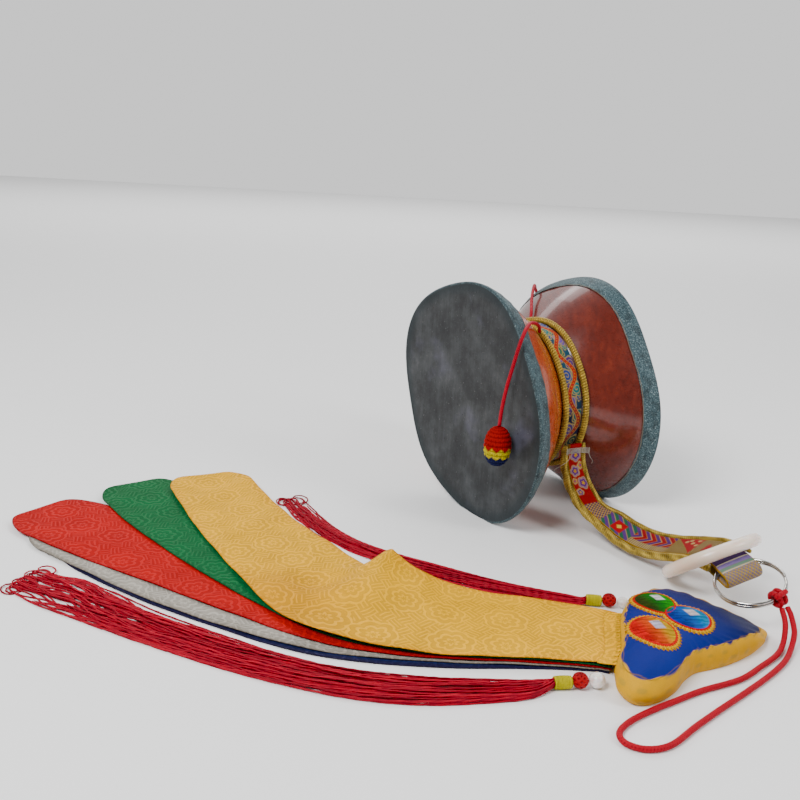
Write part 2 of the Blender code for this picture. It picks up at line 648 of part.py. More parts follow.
def make_tassel(prefix, pearl_place, pearl_radius, direction, skirt, materials, collection):
    """String a pearl, a knot and a thread wrap, and lay the skirt behind them."""
    heading = Vector((math.cos(direction), math.sin(direction), 0.0))
    turn = Matrix.Rotation(direction, 3, "Z")
    lift = 0.0003
    centre = place(pearl_place[0], pearl_place[1], (pearl_radius + lift) / MM)
    radii = (pearl_radius, pearl_radius, pearl_radius)
    ball(prefix + "_pearl", centre, radii, materials["pearl"], collection)
    knot = centre + heading * (pearl_radius + TOUCH_GAP + KNOT_RADIUS)
    knot.z = KNOT_RADIUS + lift
    ball(prefix + "_knot", knot, (KNOT_RADIUS, KNOT_RADIUS, KNOT_RADIUS), materials["red"], collection, turn)
    wrap = knot + heading * (KNOT_RADIUS + TOUCH_GAP + WRAP_LENGTH / 2.0)
    wrap.z = WRAP_RADIUS + lift
    mesh = bmesh.new()
    bmesh.ops.create_cone(mesh, cap_ends=True, segments=12, radius1=WRAP_RADIUS, radius2=WRAP_RADIUS,
                          depth=WRAP_LENGTH)
    bmesh.ops.rotate(mesh, matrix=turn @ Matrix.Rotation(math.pi / 2.0, 3, "Y"), verts=mesh.verts)
    data = bpy.data.meshes.new(prefix + "_wrap")
    mesh.to_mesh(data)
    mesh.free()
    piece = add_object(prefix + "_wrap", data, materials["wrap"], collection)
    piece.location = wrap
    loft(prefix + "_skirt", skirt_sections(skirt, TASSEL_SKIRT_HEIGHT), materials["red"], collection)


def main():
    """Clear the scene and build every piece."""
    for old in list(bpy.data.objects):
        bpy.data.objects.remove(old)
    collection = bpy.data.collections.new("damaru_drum")
    bpy.context.scene.collection.children.link(collection)
    materials = {
        "wood": finish("lacquered_wood", (0.26, 0.07, 0.03), 0.22),
        "skin": finish("stretched_skin", (0.06, 0.08, 0.09), 0.55),
        "brocade": finish("brocade", (0.30, 0.08, 0.14), 0.60),
        "gold": finish("gold_braid", (0.62, 0.45, 0.12), 0.45, 0.3),
        "red": finish("red_cord", (0.55, 0.01, 0.03), 0.65),
        "bone": finish("polished_bone", (0.80, 0.72, 0.66), 0.30),
        "steel": finish("steel_wire", (0.62, 0.62, 0.62), 0.20, 1.0),
        "satin": finish("pendant_satin", (0.02, 0.03, 0.20), 0.45),
        "pearl": finish("pearl", (0.85, 0.80, 0.76), 0.20),
        "wrap": finish("yellow_thread", (0.65, 0.62, 0.10), 0.60),
        "streamer_blue": finish("blue_silk", (0.03, 0.03, 0.10), 0.45),
        "streamer_white": finish("white_silk", (0.55, 0.52, 0.48), 0.45),
        "streamer_red": finish("red_silk", (0.72, 0.01, 0.04), 0.45),
        "streamer_green": finish("green_silk", (0.01, 0.25, 0.11), 0.45),
        "streamer_yellow": finish("yellow_silk", (0.90, 0.52, 0.02), 0.45),
    }
    drum = bpy.data.objects.new("drum_axis", None)
    collection.objects.link(drum)
    drum.location = place(DRUM_PLACE[0], DRUM_PLACE[1], AXIS_HEIGHT / MM)
    drum.rotation_euler = (math.pi / 2.0, 0.0, DRUM_YAW)
    for name, side in (("left", 1), ("right", -1)):
        make_bowl("bowl_" + name, side, materials["wood"], collection, drum)
        make_head("head_skin_" + name, side, materials["skin"], collection, drum)
    make_belt(materials, collection, drum)
    make_knockers(materials, collection, drum)
    make_strap(materials, collection)
    make_bone_ring(materials["bone"], collection)
    make_steel_ring(materials["steel"], collection)
    make_red_cord(materials, collection)
    make_pendant(materials["satin"], collection)
    make_streamers(materials, collection)
    make_tassel("near_tassel", NEAR_PEARL, NEAR_PEARL_RADIUS, NEAR_DIRECTION, NEAR_SKIRT, materials, collection)
    make_tassel("far_tassel", FAR_PEARL, FAR_PEARL_RADIUS, FAR_DIRECTION, FAR_SKIRT, materials, collection)


main()
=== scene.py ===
import logging
import math
from dataclasses import dataclass
from enum import Enum
from typing import Optional, Sequence, Union

import bmesh
import bpy
import numpy as np
from mathutils import Matrix, Vector


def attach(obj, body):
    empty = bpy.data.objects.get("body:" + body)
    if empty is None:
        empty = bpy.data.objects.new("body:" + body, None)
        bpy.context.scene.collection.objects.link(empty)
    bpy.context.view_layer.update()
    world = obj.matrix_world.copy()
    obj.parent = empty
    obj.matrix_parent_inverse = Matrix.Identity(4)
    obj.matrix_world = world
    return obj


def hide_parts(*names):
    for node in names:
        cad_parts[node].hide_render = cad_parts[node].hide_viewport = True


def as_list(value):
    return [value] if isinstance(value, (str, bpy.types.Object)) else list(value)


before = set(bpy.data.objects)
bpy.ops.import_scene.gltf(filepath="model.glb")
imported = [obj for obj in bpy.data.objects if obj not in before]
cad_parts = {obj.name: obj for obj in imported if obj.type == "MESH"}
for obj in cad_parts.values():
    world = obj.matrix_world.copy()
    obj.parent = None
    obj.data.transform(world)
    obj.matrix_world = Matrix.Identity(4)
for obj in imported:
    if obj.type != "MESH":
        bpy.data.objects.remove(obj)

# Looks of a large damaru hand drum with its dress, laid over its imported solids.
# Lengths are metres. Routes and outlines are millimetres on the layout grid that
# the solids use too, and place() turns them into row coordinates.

logging.basicConfig(level=logging.INFO, format="%(message)s")
LOG = logging.getLogger("damaru")

Array = np.ndarray
Socket = bpy.types.NodeSocket
MM = 0.001
TURN = 2.0 * math.pi
LAYOUT_CENTRE = (-15.6, 765.8)
GAP = 0.0004
DYE_PURITY = 1.35
DYE_DEPTH = 0.70
SILK_LIGHT = 1.28
SILK_GOLD = "ffc008"
# Red cord colours: groove colour, painted dark as shade, and strand colour.
CRIMSON_CORD = ("6c0424", "c0063c")


class Slot(Enum):
    """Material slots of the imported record."""

    WOOD = "lacquered_wood"
    SKIN = "stretched_skin"
    BELT = "belt_brocade"
    GOLD = "gold_braid"
    CORD = "red_cord"
    CROCHET = "crochet"
    STRAP = "strap_brocade"
    BONE = "polished_bone"
    STEEL = "steel_wire"
    SATIN = "pendant_satin"
    PEARL = "pearl"
    YARN = "yellow_thread"
    TASSEL = "tassel_thread"
    BLUE = "blue_silk"
    WHITE = "white_silk"
    RED = "red_silk"
    GREEN = "green_silk"
    YELLOW = "yellow_silk"


class Tone(Enum):
    """Variants that share one slot."""

    PLAIN = ""
    # Painted light: the left bowl's wood is a lighter, warmer copy of the same lacquered wood.
    LIT_WARM = "warm"
    STITCHED = "stitched"


def srgb(code: str) -> Array:
    """Turn a hex colour into linear red, green and blue.

    Args:
        code: six hex digits.

    Returns:
        Three linear values.
    """
    values = np.array([int(code[i:i + 2], 16) for i in (0, 2, 4)]) / 255.0
    return np.where(values <= 0.04045, values / 12.92, ((values + 0.055) / 1.055) ** 2.4)


def dye(code: str) -> Array:
    """Give a thread's own colour: deeper and purer than a bright picture shows it.

    Args:
        code: six hex digits, as the eye sees the thread.

    Returns:
        Three linear values.
    """
    value = srgb(code)
    grey = float(value.dot((0.2126, 0.7152, 0.0722)))
    return np.clip(grey + (value - grey) * DYE_PURITY, 0.0, 1.0) * DYE_DEPTH


def rgba(code: str) -> tuple:
    """Give a hex colour as a socket's four values."""
    return (*srgb(code).tolist(), 1.0)


def place(x: Array, y: Array, z: Array) -> Array:
    """Turn layout millimetres into row metres, for numbers or arrays."""
    x, y, z = np.broadcast_arrays(x, y, z)
    return np.stack([(x - LAYOUT_CENTRE[0]) * MM, (y - LAYOUT_CENTRE[1]) * MM, z * MM], axis=-1)


def smooth_rows(points: Sequence, count: int) -> Array:
    """Read evenly spaced rows from a smooth curve through the given rows.

    Args:
        points: rows whose first three columns are a place.
        count: how many rows to give.

    Returns:
        An array of count rows.
    """
    rows = np.array(points, dtype=float)
    padded = np.vstack([2 * rows[0] - rows[1], rows, 2 * rows[-1] - rows[-2]])
    dense = []
    for before, start, end, after in zip(padded, padded[1:], padded[2:], padded[3:]):
        square = 2 * before - 5 * start + 4 * end - after
        cube = 3 * start - before - 3 * end + after
        for t in np.linspace(0.0, 1.0, 24, endpoint=False):
            dense.append(0.5 * (2 * start + (end - before) * t + square * t * t + cube * t ** 3))
    dense = np.array(dense + [rows[-1]])
    lengths = distances(dense[:, :3])
    wanted = np.linspace(0.0, lengths[-1], count)
    return np.column_stack([np.interp(wanted, lengths, column) for column in dense.T])


def distances(path: Array) -> Array:
    """Give how far each point is along a path, in metres."""
    return np.concatenate([[0.0], np.cumsum(np.linalg.norm(np.diff(path, axis=0), axis=1))])


def unit(vectors: Array) -> Array:
    """Give rows of vectors a length of one."""
    return vectors / np.linalg.norm(vectors, axis=-1)[..., None]


def soft(distance: Array, width: float = 0.5) -> Array:
    """Give 1 where a distance in millimetres is positive and 0 where it isn't, with a soft edge."""
    return np.clip(distance / width + 0.5, 0.0, 1.0)


def hashed(values: Array) -> Array:
    """Give a repeatable number from 0 to 1 for each value."""
    return np.modf(np.abs(np.sin(values * 12.9898) * 43758.5453))[0]


class Look:
    """Builds one node material."""

    def __init__(self, name: str) -> None:
        """Start a material that has only its shader."""
        self.material = bpy.data.materials.new(name)
        self.material.use_nodes = True
        self.tree = self.material.node_tree
        self.shader = self.tree.nodes["Principled BSDF"]

    def add(self, kind: str, inputs: dict, output: Union[int, str] = 0, stops: Sequence = (),
            **settings: object) -> Socket:
        """Add one node with its settings and links.

        Args:
            kind: node type, without the words that all of them begin with.
            inputs: a plain value or another node's output for each input.
            output: number or name of the output to give.
            stops: places and hex colours, on a node that has a ramp.
            settings: the node's properties.

        Returns:
            One output of the new node.
        """
        node = self.tree.nodes.new("ShaderNode" + kind)
        count = len(self.tree.nodes)
        node.location = (-240 * (count % 7 + 1), -220 * (count // 7))
        for key, value in settings.items():
            setattr(node, key, value)
        for key, value in inputs.items():
            self.feed(node.inputs[key], value)
        if stops:
            elements = node.color_ramp.elements
            while len(elements) < len(stops):
                elements.new(0.5)
            for element, (position, code) in zip(elements, stops):
                element.position = position
                element.color = rgba(code)
        return node.outputs[output]

    def feed(self, socket: Socket, value: object) -> None:
        """Link an output, or set a plain value, on one input."""
        if isinstance(value, Socket):
            self.tree.links.new(value, socket)
        else:
            socket.default_value = value

    def spots(self, size_mm: float, source: str = "Object", stretch: tuple = (1.0, 1.0, 1.0),
              turn: float = 0.0) -> Socket:
        """Give coordinates in which a real size is one unit.

        Args:
            size_mm: the real size in millimetres.
            source: where the coordinates come from.
            stretch: how much longer that size is along each axis.
            turn: angle about the upright axis.

        Returns:
            The scaled coordinates.
        """
        scale = [1000.0 / (size_mm * part) for part in stretch]
        where = self.add("TexCoord", {}, source)
        return self.add("Mapping", {"Vector": where, "Scale": scale, "Rotation": (0, 0, turn)},
                        vector_type="POINT")

    def grain(self, size_mm: float, detail: float = 3.0, roughness: float = 0.55, **where: object) -> Socket:
        """Give a cloudy pattern whose spots have a real size.

        Args:
            size_mm: size of the largest spots.
            detail: how many finer layers it has.
            roughness: how strong the finer layers are.
            where: source, stretch and turn, as spots() takes them.

        Returns:
            The pattern, from 0 to 1.
        """
        return self.add("TexNoise", {"Vector": self.spots(size_mm, **where), "Scale": 1.0, "Detail": detail,
                                     "Roughness": roughness})

    def blend(self, first: Socket, share: float, second: Socket, other: float) -> Socket:
        """Give the sum of two patterns, each times its own share."""
        parts = [self.add("Math", {0: pattern, 1: weight}, operation="MULTIPLY")
                 for pattern, weight in ((first, share), (second, other))]
        return self.add("Math", {0: parts[0], 1: parts[1]}, operation="ADD")

    def stain(self, colour: object, pattern: Socket, low: float, high: float, weight: float,
              over: object) -> Socket:
        """Lay one colour over another where a pattern is strong.

        Args:
            colour: the colour below.
            pattern: what decides where the stain lies.
            low: value of the pattern up to which nothing shows.
            high: value from which the stain is full.
            weight: how much the full stain covers.
            over: the stain's colour.

        Returns:
            The stained colour.
        """
        mask = self.add("MapRange", {"Value": pattern, "From Min": low, "From Max": high},
                        interpolation_type="SMOOTHSTEP")
        mask = self.add("Math", {0: mask, 1: weight}, operation="MULTIPLY")
        return self.add("Mix", {0: mask, 6: colour, 7: over}, 2, data_type="RGBA")

    def done(self, **values: object) -> bpy.types.Material:
        """Set the shader's inputs, with spaces written as underscores, and give the material."""
        for key, value in values.items():
            self.feed(self.shader.inputs[key.replace("_", " ")], value)
        return self.material


@dataclass(frozen=True)
class Weave:
    """Finish of a cloth or thread that the mesh itself colours.

    Attributes:
        name: what the material really is.
        rib_mm: distance between ribs across and along, 0 for none.
        rib_depth: height of the ribs in millimetres.
        roughness: lowest and highest roughness.
        sheen: weight of the soft sheen.
        metallic: share of metal thread.
        shift: how far the colour changes from place to place.
        relief_mm: height of the raised pattern.
        specular: strength of the gloss.
    """

    name: str
    rib_mm: tuple = (0.0, 0.0)
    rib_depth: float = 0.0
    roughness: tuple = (0.45, 0.62)
    sheen: float = 0.10
    metallic: float = 0.0
    shift: float = 0.25
    relief_mm: float = 0.35
    specular: float = 0.10


# Woven ribs are really 0.2 to 0.4 mm apart. That is too fine to show, so they are drawn 0.7 to 1.3 mm apart.
WEAVES = {
    # Jacquard brocade in rayon on a cotton ground: soft lustre, figures a little proud of the ground.
    Slot.BELT: Weave("jacquard_brocade_band", (0.9, 0.7), 0.10, (0.50, 0.68), 0.08, shift=0.30),
    # Patches of the same brocade, worn by the hand: a touch glossier where they are rubbed.
    Slot.STRAP: Weave("jacquard_brocade_patchwork", (1.0, 0.8), 0.12, (0.48, 0.66), 0.08, shift=0.30),
    # Flat metal strip wound round cotton: it glints in flecks; the mesh's tint paints shade in its folds and
    # grooves and highlight on its crests.
    Slot.GOLD: Weave("wound_metal_strip_braid", roughness=(0.30, 0.46), sheen=0.04, metallic=0.40,
                     shift=0.55),
    # Braided polyester cord: an even colour, with painted shade in the grooves between its strands.
    Slot.CORD: Weave("braided_polyester_cord"),
    # Crocheted acrylic yarn: matt and fuzzy, with deep shade between the stitches.
    Slot.CROCHET: Weave("crocheted_acrylic_yarn", roughness=(0.62, 0.80), sheen=0.12, shift=0.35),
    # Weft-faced satin: smooth, with a broad soft highlight across its fine ribs.
    Slot.SATIN: Weave("weft_faced_satin", (0.8, 0.0), 0.06, (0.36, 0.52), 0.04, shift=0.22, specular=0.07),
    # Cotton sewing thread: thin, slightly glossy turns.
    Slot.YARN: Weave("cotton_sewing_thread", roughness=(0.45, 0.60), shift=0.30),
    # Twisted viscose thread: uneven dye from one thread to the next.
    Slot.TASSEL: Weave("twisted_viscose_thread", shift=0.45),
}
# Satin stitch in silk floss: matt from most sides, each stitch with a shade of its own.
STITCHES = Weave("satin_stitch_floss", roughness=(0.55, 0.75), sheen=0.06, shift=0.30, relief_mm=0.55,
                 specular=0.06)


class Materials:
    """Makes each material once and hands it out by slot and tone."""

    def __init__(self) -> None:
        """Start with no material."""
        self.made: dict = {}
        self.makers = {Slot.WOOD: self.wood, Slot.SKIN: self.skin, Slot.BONE: self.bone,
                       Slot.STEEL: self.steel, Slot.PEARL: self.pearl}

    def get(self, slot: Slot, tone: Tone = Tone.PLAIN) -> bpy.types.Material:
        """Give the material of a slot, in one of its tones.

        Args:
            slot: the record's material slot.
            tone: variant of the finish.

        Returns:
            The material, made on its first use.
        """
        key = (slot, tone)
        if key not in self.made:
            if slot in self.makers:
                self.made[key] = self.makers[slot](tone)
            elif slot in WEAVES:
                self.made[key] = self.cloth(STITCHES if tone is Tone.STITCHED else WEAVES[slot])
            else:
                self.made[key] = self.damask(slot)
        return self.made[key]

    def cloth(self, weave: Weave) -> bpy.types.Material:
        """Make woven or twisted thread, coloured and raised by the mesh.

        Args:
            weave: its finish.

        Returns:
            The material.
        """
        look = Look(weave.name)
        tint = look.add("Attribute", {}, "Color", attribute_name="tint")
        relief = look.add("Attribute", {}, "Fac", attribute_name="relief")
        fine = look.grain(0.8, 3.0, 0.7)
        shade = look.add("ValToRGB", {"Fac": look.blend(look.grain(14.0, 4.0), 0.5, fine, 0.5)},
                         stops=((0.25, "000000"), (0.75, "ffffff")))
        colour = look.add("Mix", {0: weave.shift, 6: tint, 7: shade}, 2, data_type="RGBA",
                          blend_type="MULTIPLY")
        height = look.add("Math", {0: fine, 1: 0.3}, operation="MULTIPLY")
        cloth = look.add("SeparateXYZ", {"Vector": look.add("TexCoord", {}, "UV")}).node
        for axis, period in enumerate(weave.rib_mm):
            if period > 0.0:
                turns = look.add("Math", {0: cloth.outputs[axis], 1: TURN / (period * MM)},
                                 operation="MULTIPLY")
                wave = look.add("Math", {0: turns}, operation="SINE")
                height = look.blend(height, 1.0, wave, weave.rib_depth)
        normal = look.add("Bump", {"Height": height, "Distance": 0.5 * MM})
        normal = look.add("Bump", {"Height": relief, "Distance": weave.relief_mm * MM, "Normal": normal})
        rough = look.add("MapRange", {"Value": look.blend(relief, 1.0, fine, 0.3),
                                      "To Min": weave.roughness[1], "To Max": weave.roughness[0]})
        return look.done(Base_Color=colour, Roughness=rough, Normal=normal, Metallic=weave.metallic,
                         Sheen_Weight=weave.sheen, Sheen_Roughness=0.4, Specular_IOR_Level=weave.specular,
                         Sheen_Tint=tint)

    def damask(self, slot: Slot) -> bpy.types.Material:
        """Make silk damask: flower medallions on a ground of woven frets, tone on tone.

        The figure's threads float, so it is smoother than the ground, and it is painted lighter as a painted
        sheen. A medallion is about 40 mm across, its rings 6 mm apart and a fret's bars 3.2 mm.

        Args:
            slot: the silk's slot, which names the material.

        Returns:
            The material.
        """
        look = Look("damask_" + slot.value)
        tint = look.add("Attribute", {}, "Color", attribute_name="tint")
        spot = look.spots(1.0, "UV")
        drift = look.add("TexNoise", {"Vector": spot, "Scale": 0.045, "Detail": 1.0}, "Color")
        bent = look.add("VectorMath", {0: drift, 3: 5.0}, operation="SCALE")
        spot = look.add("VectorMath", {0: spot, 1: bent}, operation="ADD")
        reach = look.add("TexVoronoi", {"Vector": spot, "Scale": 1.0 / 40.0, "Randomness": 0.30},
                         voronoi_dimensions="2D")
        local = look.add("VectorMath", {0: spot, 1: reach.node.outputs["Position"]}, operation="SUBTRACT")
        local = look.add("SeparateXYZ", {"Vector": local}).node.outputs
        bearing = look.add("Math", {0: local[1], 1: local[0]}, operation="ARCTAN2")
        lobes = look.add("Math", {0: bearing, 1: 3.5}, operation="MULTIPLY")
        lobes = look.add("Math", {0: look.add("Math", {0: lobes}, operation="SINE")}, operation="ABSOLUTE")
        rings = look.add("Math", {0: look.blend(reach, TURN * 6.5, lobes, -2.6)}, operation="SINE")
        medal = look.add("MapRange", {"Value": reach, "From Min": 0.43, "From Max": 0.40},
                         interpolation_type="SMOOTHSTEP")
        turned = look.add("Mapping", {"Vector": spot, "Rotation": (0, 0, math.radians(40))})
        split = look.add("SeparateXYZ", {"Vector": turned}).node.outputs
        bars = []
        for axis in (0, 1):
            turns = look.add("Math", {0: split[axis], 1: TURN / 3.2}, operation="MULTIPLY")
            bars.append(look.add("Math", {0: turns}, operation="SINE"))
        checks = look.add("TexChecker", {"Vector": turned, "Scale": 1.0 / 9.6}, "Fac")
        fret = look.add("Mix", {0: checks, 2: bars[0], 3: bars[1]}, data_type="FLOAT")
        raw = look.add("Mix", {0: medal, 2: fret, 3: rings}, data_type="FLOAT")
        figure = look.add("MapRange", {"Value": raw, "From Min": 0.10, "From Max": 0.60},
                          interpolation_type="SMOOTHSTEP")
        thread = look.grain(0.9, 3.0, 0.7, source="UV", stretch=(1.0, 5.0, 1.0))
        shade = look.blend(look.grain(30.0, source="UV"), 0.45, thread, 0.30)
        # Painted sheen: the figure lightens the colour.
        shade = look.add("ValToRGB", {"Fac": look.blend(shade, 1.0, figure, 0.24)},
                         stops=((0.22, "c0c0c0"), (0.45, "e4e4e4"), (0.68, "ffffff")))
        colour = look.add("Mix", {0: 1.0, 6: tint, 7: shade}, 2, data_type="RGBA", blend_type="MULTIPLY")
        normal = look.add("Bump", {"Height": thread, "Distance": 0.05 * MM})
        normal = look.add("Bump", {"Height": figure, "Distance": 0.30 * MM, "Normal": normal})
        rough = look.add("MapRange", {"Value": figure, "To Min": 0.58, "To Max": 0.34})
        return look.done(Base_Color=colour, Roughness=rough, Normal=normal, Sheen_Weight=0.02,
                         Sheen_Roughness=0.4, Sheen_Tint=tint, Specular_IOR_Level=0.05)

    def wood(self, tone: Tone) -> bpy.types.Material:
        """Make turned hardwood under brushed gloss lacquer: deep colour and sharp window lights.

        Args:
            tone: the left bowl, whose wood is painted lighter and warmer as painted light, or the plain right
                one.

        Returns:
            The material.
        """
        look = Look("turned_hardwood_gloss_lacquer_" + (tone.value or "deep"))
        along = {"turn": -DrumShape.yaw}
        grain = look.grain(5.0, 6.0, 0.6, stretch=(1.0, 9.0, 1.6), **along)
        pores = look.grain(0.9, 2.0, stretch=(1.0, 6.0, 1.0), **along)
        stops = ((0.25, "431109"), (0.50, "5f1d11"), (0.80, "7c2f1c"))
        # Painted light: the left bowl's copy of the wood is painted lighter and warmer.
        if tone is Tone.LIT_WARM:
            stops = ((0.25, "7e2808"), (0.50, "a43c0c"), (0.80, "c0541c"))
        colour = look.add("ValToRGB", {"Fac": look.blend(grain, 0.6, look.grain(38.0), 0.4)}, stops=stops)
        colour = look.stain(colour, pores, 0.60, 0.75, 0.35, rgba("2c0a06"))
        rough = look.add("MapRange", {"Value": look.grain(7.0, 5.0, 0.7), "To Min": 0.18, "To Max": 0.38})
        normal = look.add("Bump", {"Height": grain, "Distance": 0.06 * MM})
        return look.done(Base_Color=colour, Roughness=rough, Normal=normal, Coat_Weight=0.6,
                         Coat_Roughness=0.07, Specular_IOR_Level=0.3)

    def skin(self, tone: Tone) -> bpy.types.Material:
        """Make painted rawhide: a scuffed slate head and a speckled teal skirt with a worn edge.

        The mesh's zone is below 1 on the head, from 1 to 2 on the skirt and 2 at its hem.

        Args:
            tone: not used, because the skins are alike.

        Returns:
            The material.
        """
        look = Look("painted_rawhide")
        zone = look.add("Attribute", {}, "Fac", attribute_name="zone")
        streak = look.grain(5.0, 6.0, 0.65, source="UV", stretch=(1.0, 11.0, 1.0))
        cloud = look.grain(42.0, 5.0, 0.62, source="UV")
        mottle = look.grain(3.2, 6.0, 0.72, source="UV")
        pits = look.add("TexVoronoi", {"Vector": look.spots(7.0, "UV"), "Scale": 1.0, "Randomness": 1.0})
        scrape = look.grain(1.1, 4.0, source="UV", stretch=(1.0, 3.0, 1.0))
        colour = look.add("ValToRGB", {"Fac": look.blend(streak, 0.22, cloud, 0.78)},
                          stops=((0.32, "1a1c1e"), (0.46, "2b2d2f"), (0.58, "3d4042"), (0.72, "5a5a60")))
        for pattern, low, high, weight, code in (
                (look.grain(55.0, 4.0, source="UV"), 0.55, 0.72, 0.40, "5c5c70"),
                (mottle, 0.55, 0.72, 0.35, "565b60"),
                (scrape, 0.66, 0.74, 0.70, "8b8f8c"),
                (pits, 0.13, 0.06, 0.80, "121416"),
                (zone, 0.86, 0.97, 0.75, "182327")):
            colour = look.stain(colour, pattern, low, high, weight, rgba(code))
        teal = look.add("ValToRGB", {"Fac": look.grain(1.3, 5.0, 0.75)},
                        stops=((0.32, "182226"), (0.45, "2c4047"), (0.57, "4c6368"), (0.70, "a3b0b2")))
        teal = look.stain(teal, look.grain(9.0), 0.50, 0.62, 0.45, rgba("0c1418"))
        colour = look.stain(colour, zone, 0.985, 1.01, 1.0, teal)
        colour = look.stain(colour, zone, 1.955, 1.975, 1.0, rgba("6d6253"))
        pit = look.add("MapRange", {"Value": pits, "From Min": 0.13, "From Max": 0.06},
                       interpolation_type="SMOOTHSTEP")
        height = look.blend(look.blend(mottle, 1.0, streak, 0.5), 1.0, pit, -1.0)
        normal = look.add("Bump", {"Height": height, "Distance": 0.16 * MM})
        rough = look.add("MapRange", {"Value": mottle, "To Min": 0.42, "To Max": 0.66})
        return look.done(Base_Color=colour, Roughness=rough, Normal=normal, Specular_IOR_Level=0.25)

    def bone(self, tone: Tone) -> bpy.types.Material:
        """Make buffed cattle bone: ivory with faint fibres, a warmer side and a waxy depth.

        Args:
            tone: not used, because there is one ring.

        Returns:
            The material.
        """
        look = Look("buffed_cattle_bone")
        fibre = look.grain(0.9, 4.0, stretch=(9.0, 1.0, 1.0))
        colour = look.stain(rgba("f4e6da"), look.grain(40.0, 2.0), 0.35, 0.70, 1.0, rgba("e4cbb4"))
        colour = look.stain(colour, fibre, 0.58, 0.74, 0.35, rgba("b9a48c"))
        rough = look.add("MapRange", {"Value": fibre, "To Min": 0.18, "To Max": 0.34})
        normal = look.add("Bump", {"Height": fibre, "Distance": 0.05 * MM})
        return look.done(Base_Color=colour, Roughness=rough, Normal=normal, Subsurface_Weight=0.25,
                         Subsurface_Scale=0.004, Coat_Weight=0.3, Coat_Roughness=0.15)

    def steel(self, tone: Tone) -> bpy.types.Material:
        """Make nickel-plated spring wire: a bright mirror with dull handled spots.

        Args:
            tone: not used, because there is one ring.

        Returns:
            The material.
        """
        look = Look("nickel_plated_spring_wire")
        dull = look.grain(6.0, 4.0)
        colour = look.add("ValToRGB", {"Fac": dull}, stops=((0.3, "9a9793"), (0.6, "d6d4d0")))
        rough = look.add("MapRange", {"Value": dull, "To Min": 0.10, "To Max": 0.26})
        scratch = look.grain(0.35, stretch=(5.0, 1.0, 1.0))
        normal = look.add("Bump", {"Height": scratch, "Distance": 0.004 * MM})
        return look.done(Base_Color=colour, Metallic=1.0, Roughness=rough, Normal=normal)

    def pearl(self, tone: Tone) -> bpy.types.Material:
        """Make a dipped glass pearl: a soft cream body under a clear glossy skin.

        Args:
            tone: not used, because both beads are alike.

        Returns:
            The material.
        """
        look = Look("dipped_glass_pearl")
        cloud = look.grain(4.0)
        colour = look.add("ValToRGB", {"Fac": cloud},
                          stops=((0.35, "d9cfc6"), (0.55, "f2ece6"), (0.7, "e6dbe0")))
        normal = look.add("Bump", {"Height": cloud, "Distance": 0.04 * MM})
        return look.done(Base_Color=colour, Roughness=0.2, Normal=normal, Coat_Weight=0.8,
                         Coat_Roughness=0.06, Subsurface_Weight=0.2, Subsurface_Scale=0.002)


class Canvas:
    """Paints a pattern on the points of a surface, in millimetres."""

    def __init__(self, x: Array, y: Array, ground: str) -> None:
        """Start with a plain ground.

        Args:
            x: place across, in millimetres.
            y: place along, in millimetres.
            ground: hex colour to start from.
        """
        self.x, self.y = np.broadcast_arrays(x, y)
        self.colour = np.broadcast_to(dye(ground), self.x.shape + (3,)).copy()
        self.relief = np.zeros(self.x.shape)

    def paint(self, mask: Array, code: str, raised: float = 0.0) -> None:
        """Lay a colour where the mask is 1, and raise it.

        Args:
            mask: share that is covered, from 0 to 1.
            code: hex colour.
            raised: height of the pattern there, from 0 to 1.
        """
        mask = np.clip(mask, 0.0, 1.0)
        self.colour = self.colour * (1.0 - mask[..., None]) + dye(code) * mask[..., None]
        self.relief = self.relief * (1.0 - mask) + raised * mask

    @staticmethod
    def span(value: Array, low: float, high: float, width: float = 0.5) -> Array:
        """Give the mask of a stripe between two values."""
        return np.minimum(soft(value - low, width), soft(high - value, width))

    def petals(self, cx: float, cy: float, radius: float, count: int, turn: float) -> Array:
        """Give how far each point is inside a flower.

        Args:
            cx: middle across, in millimetres.
            cy: middle along, in millimetres.
            radius: reach of a petal.
            count: how many petals.
            turn: angle of the first petal.

        Returns:
            Millimetres inside, negative outside.
        """
        dx, dy = self.x - cx, self.y - cy
        angle = np.arctan2(dy, dx) + turn
        return radius * (0.80 + 0.20 * np.abs(np.cos(0.5 * count * angle))) - np.hypot(dx, dy)

    def flower(self, cx: float, cy: float, radius: float, codes: Sequence[str], count: int,
               turn: float) -> None:
        """Paint a flower with an outline, petals and a heart.

        Args:
            cx: middle across, in millimetres.
            cy: middle along, in millimetres.
            radius: reach of a petal.
            codes: hex colours of outline, petal, shade and heart.
            count: how many petals.
            turn: angle of the first petal.
        """
        inside = self.petals(cx, cy, radius, count, turn)
        for inset, code, raised in zip((0.0, 0.9, radius * 0.42, radius * 0.66), codes, (0.7, 0.9, 0.8, 1.0)):
            self.paint(soft(inside - inset), code, raised)


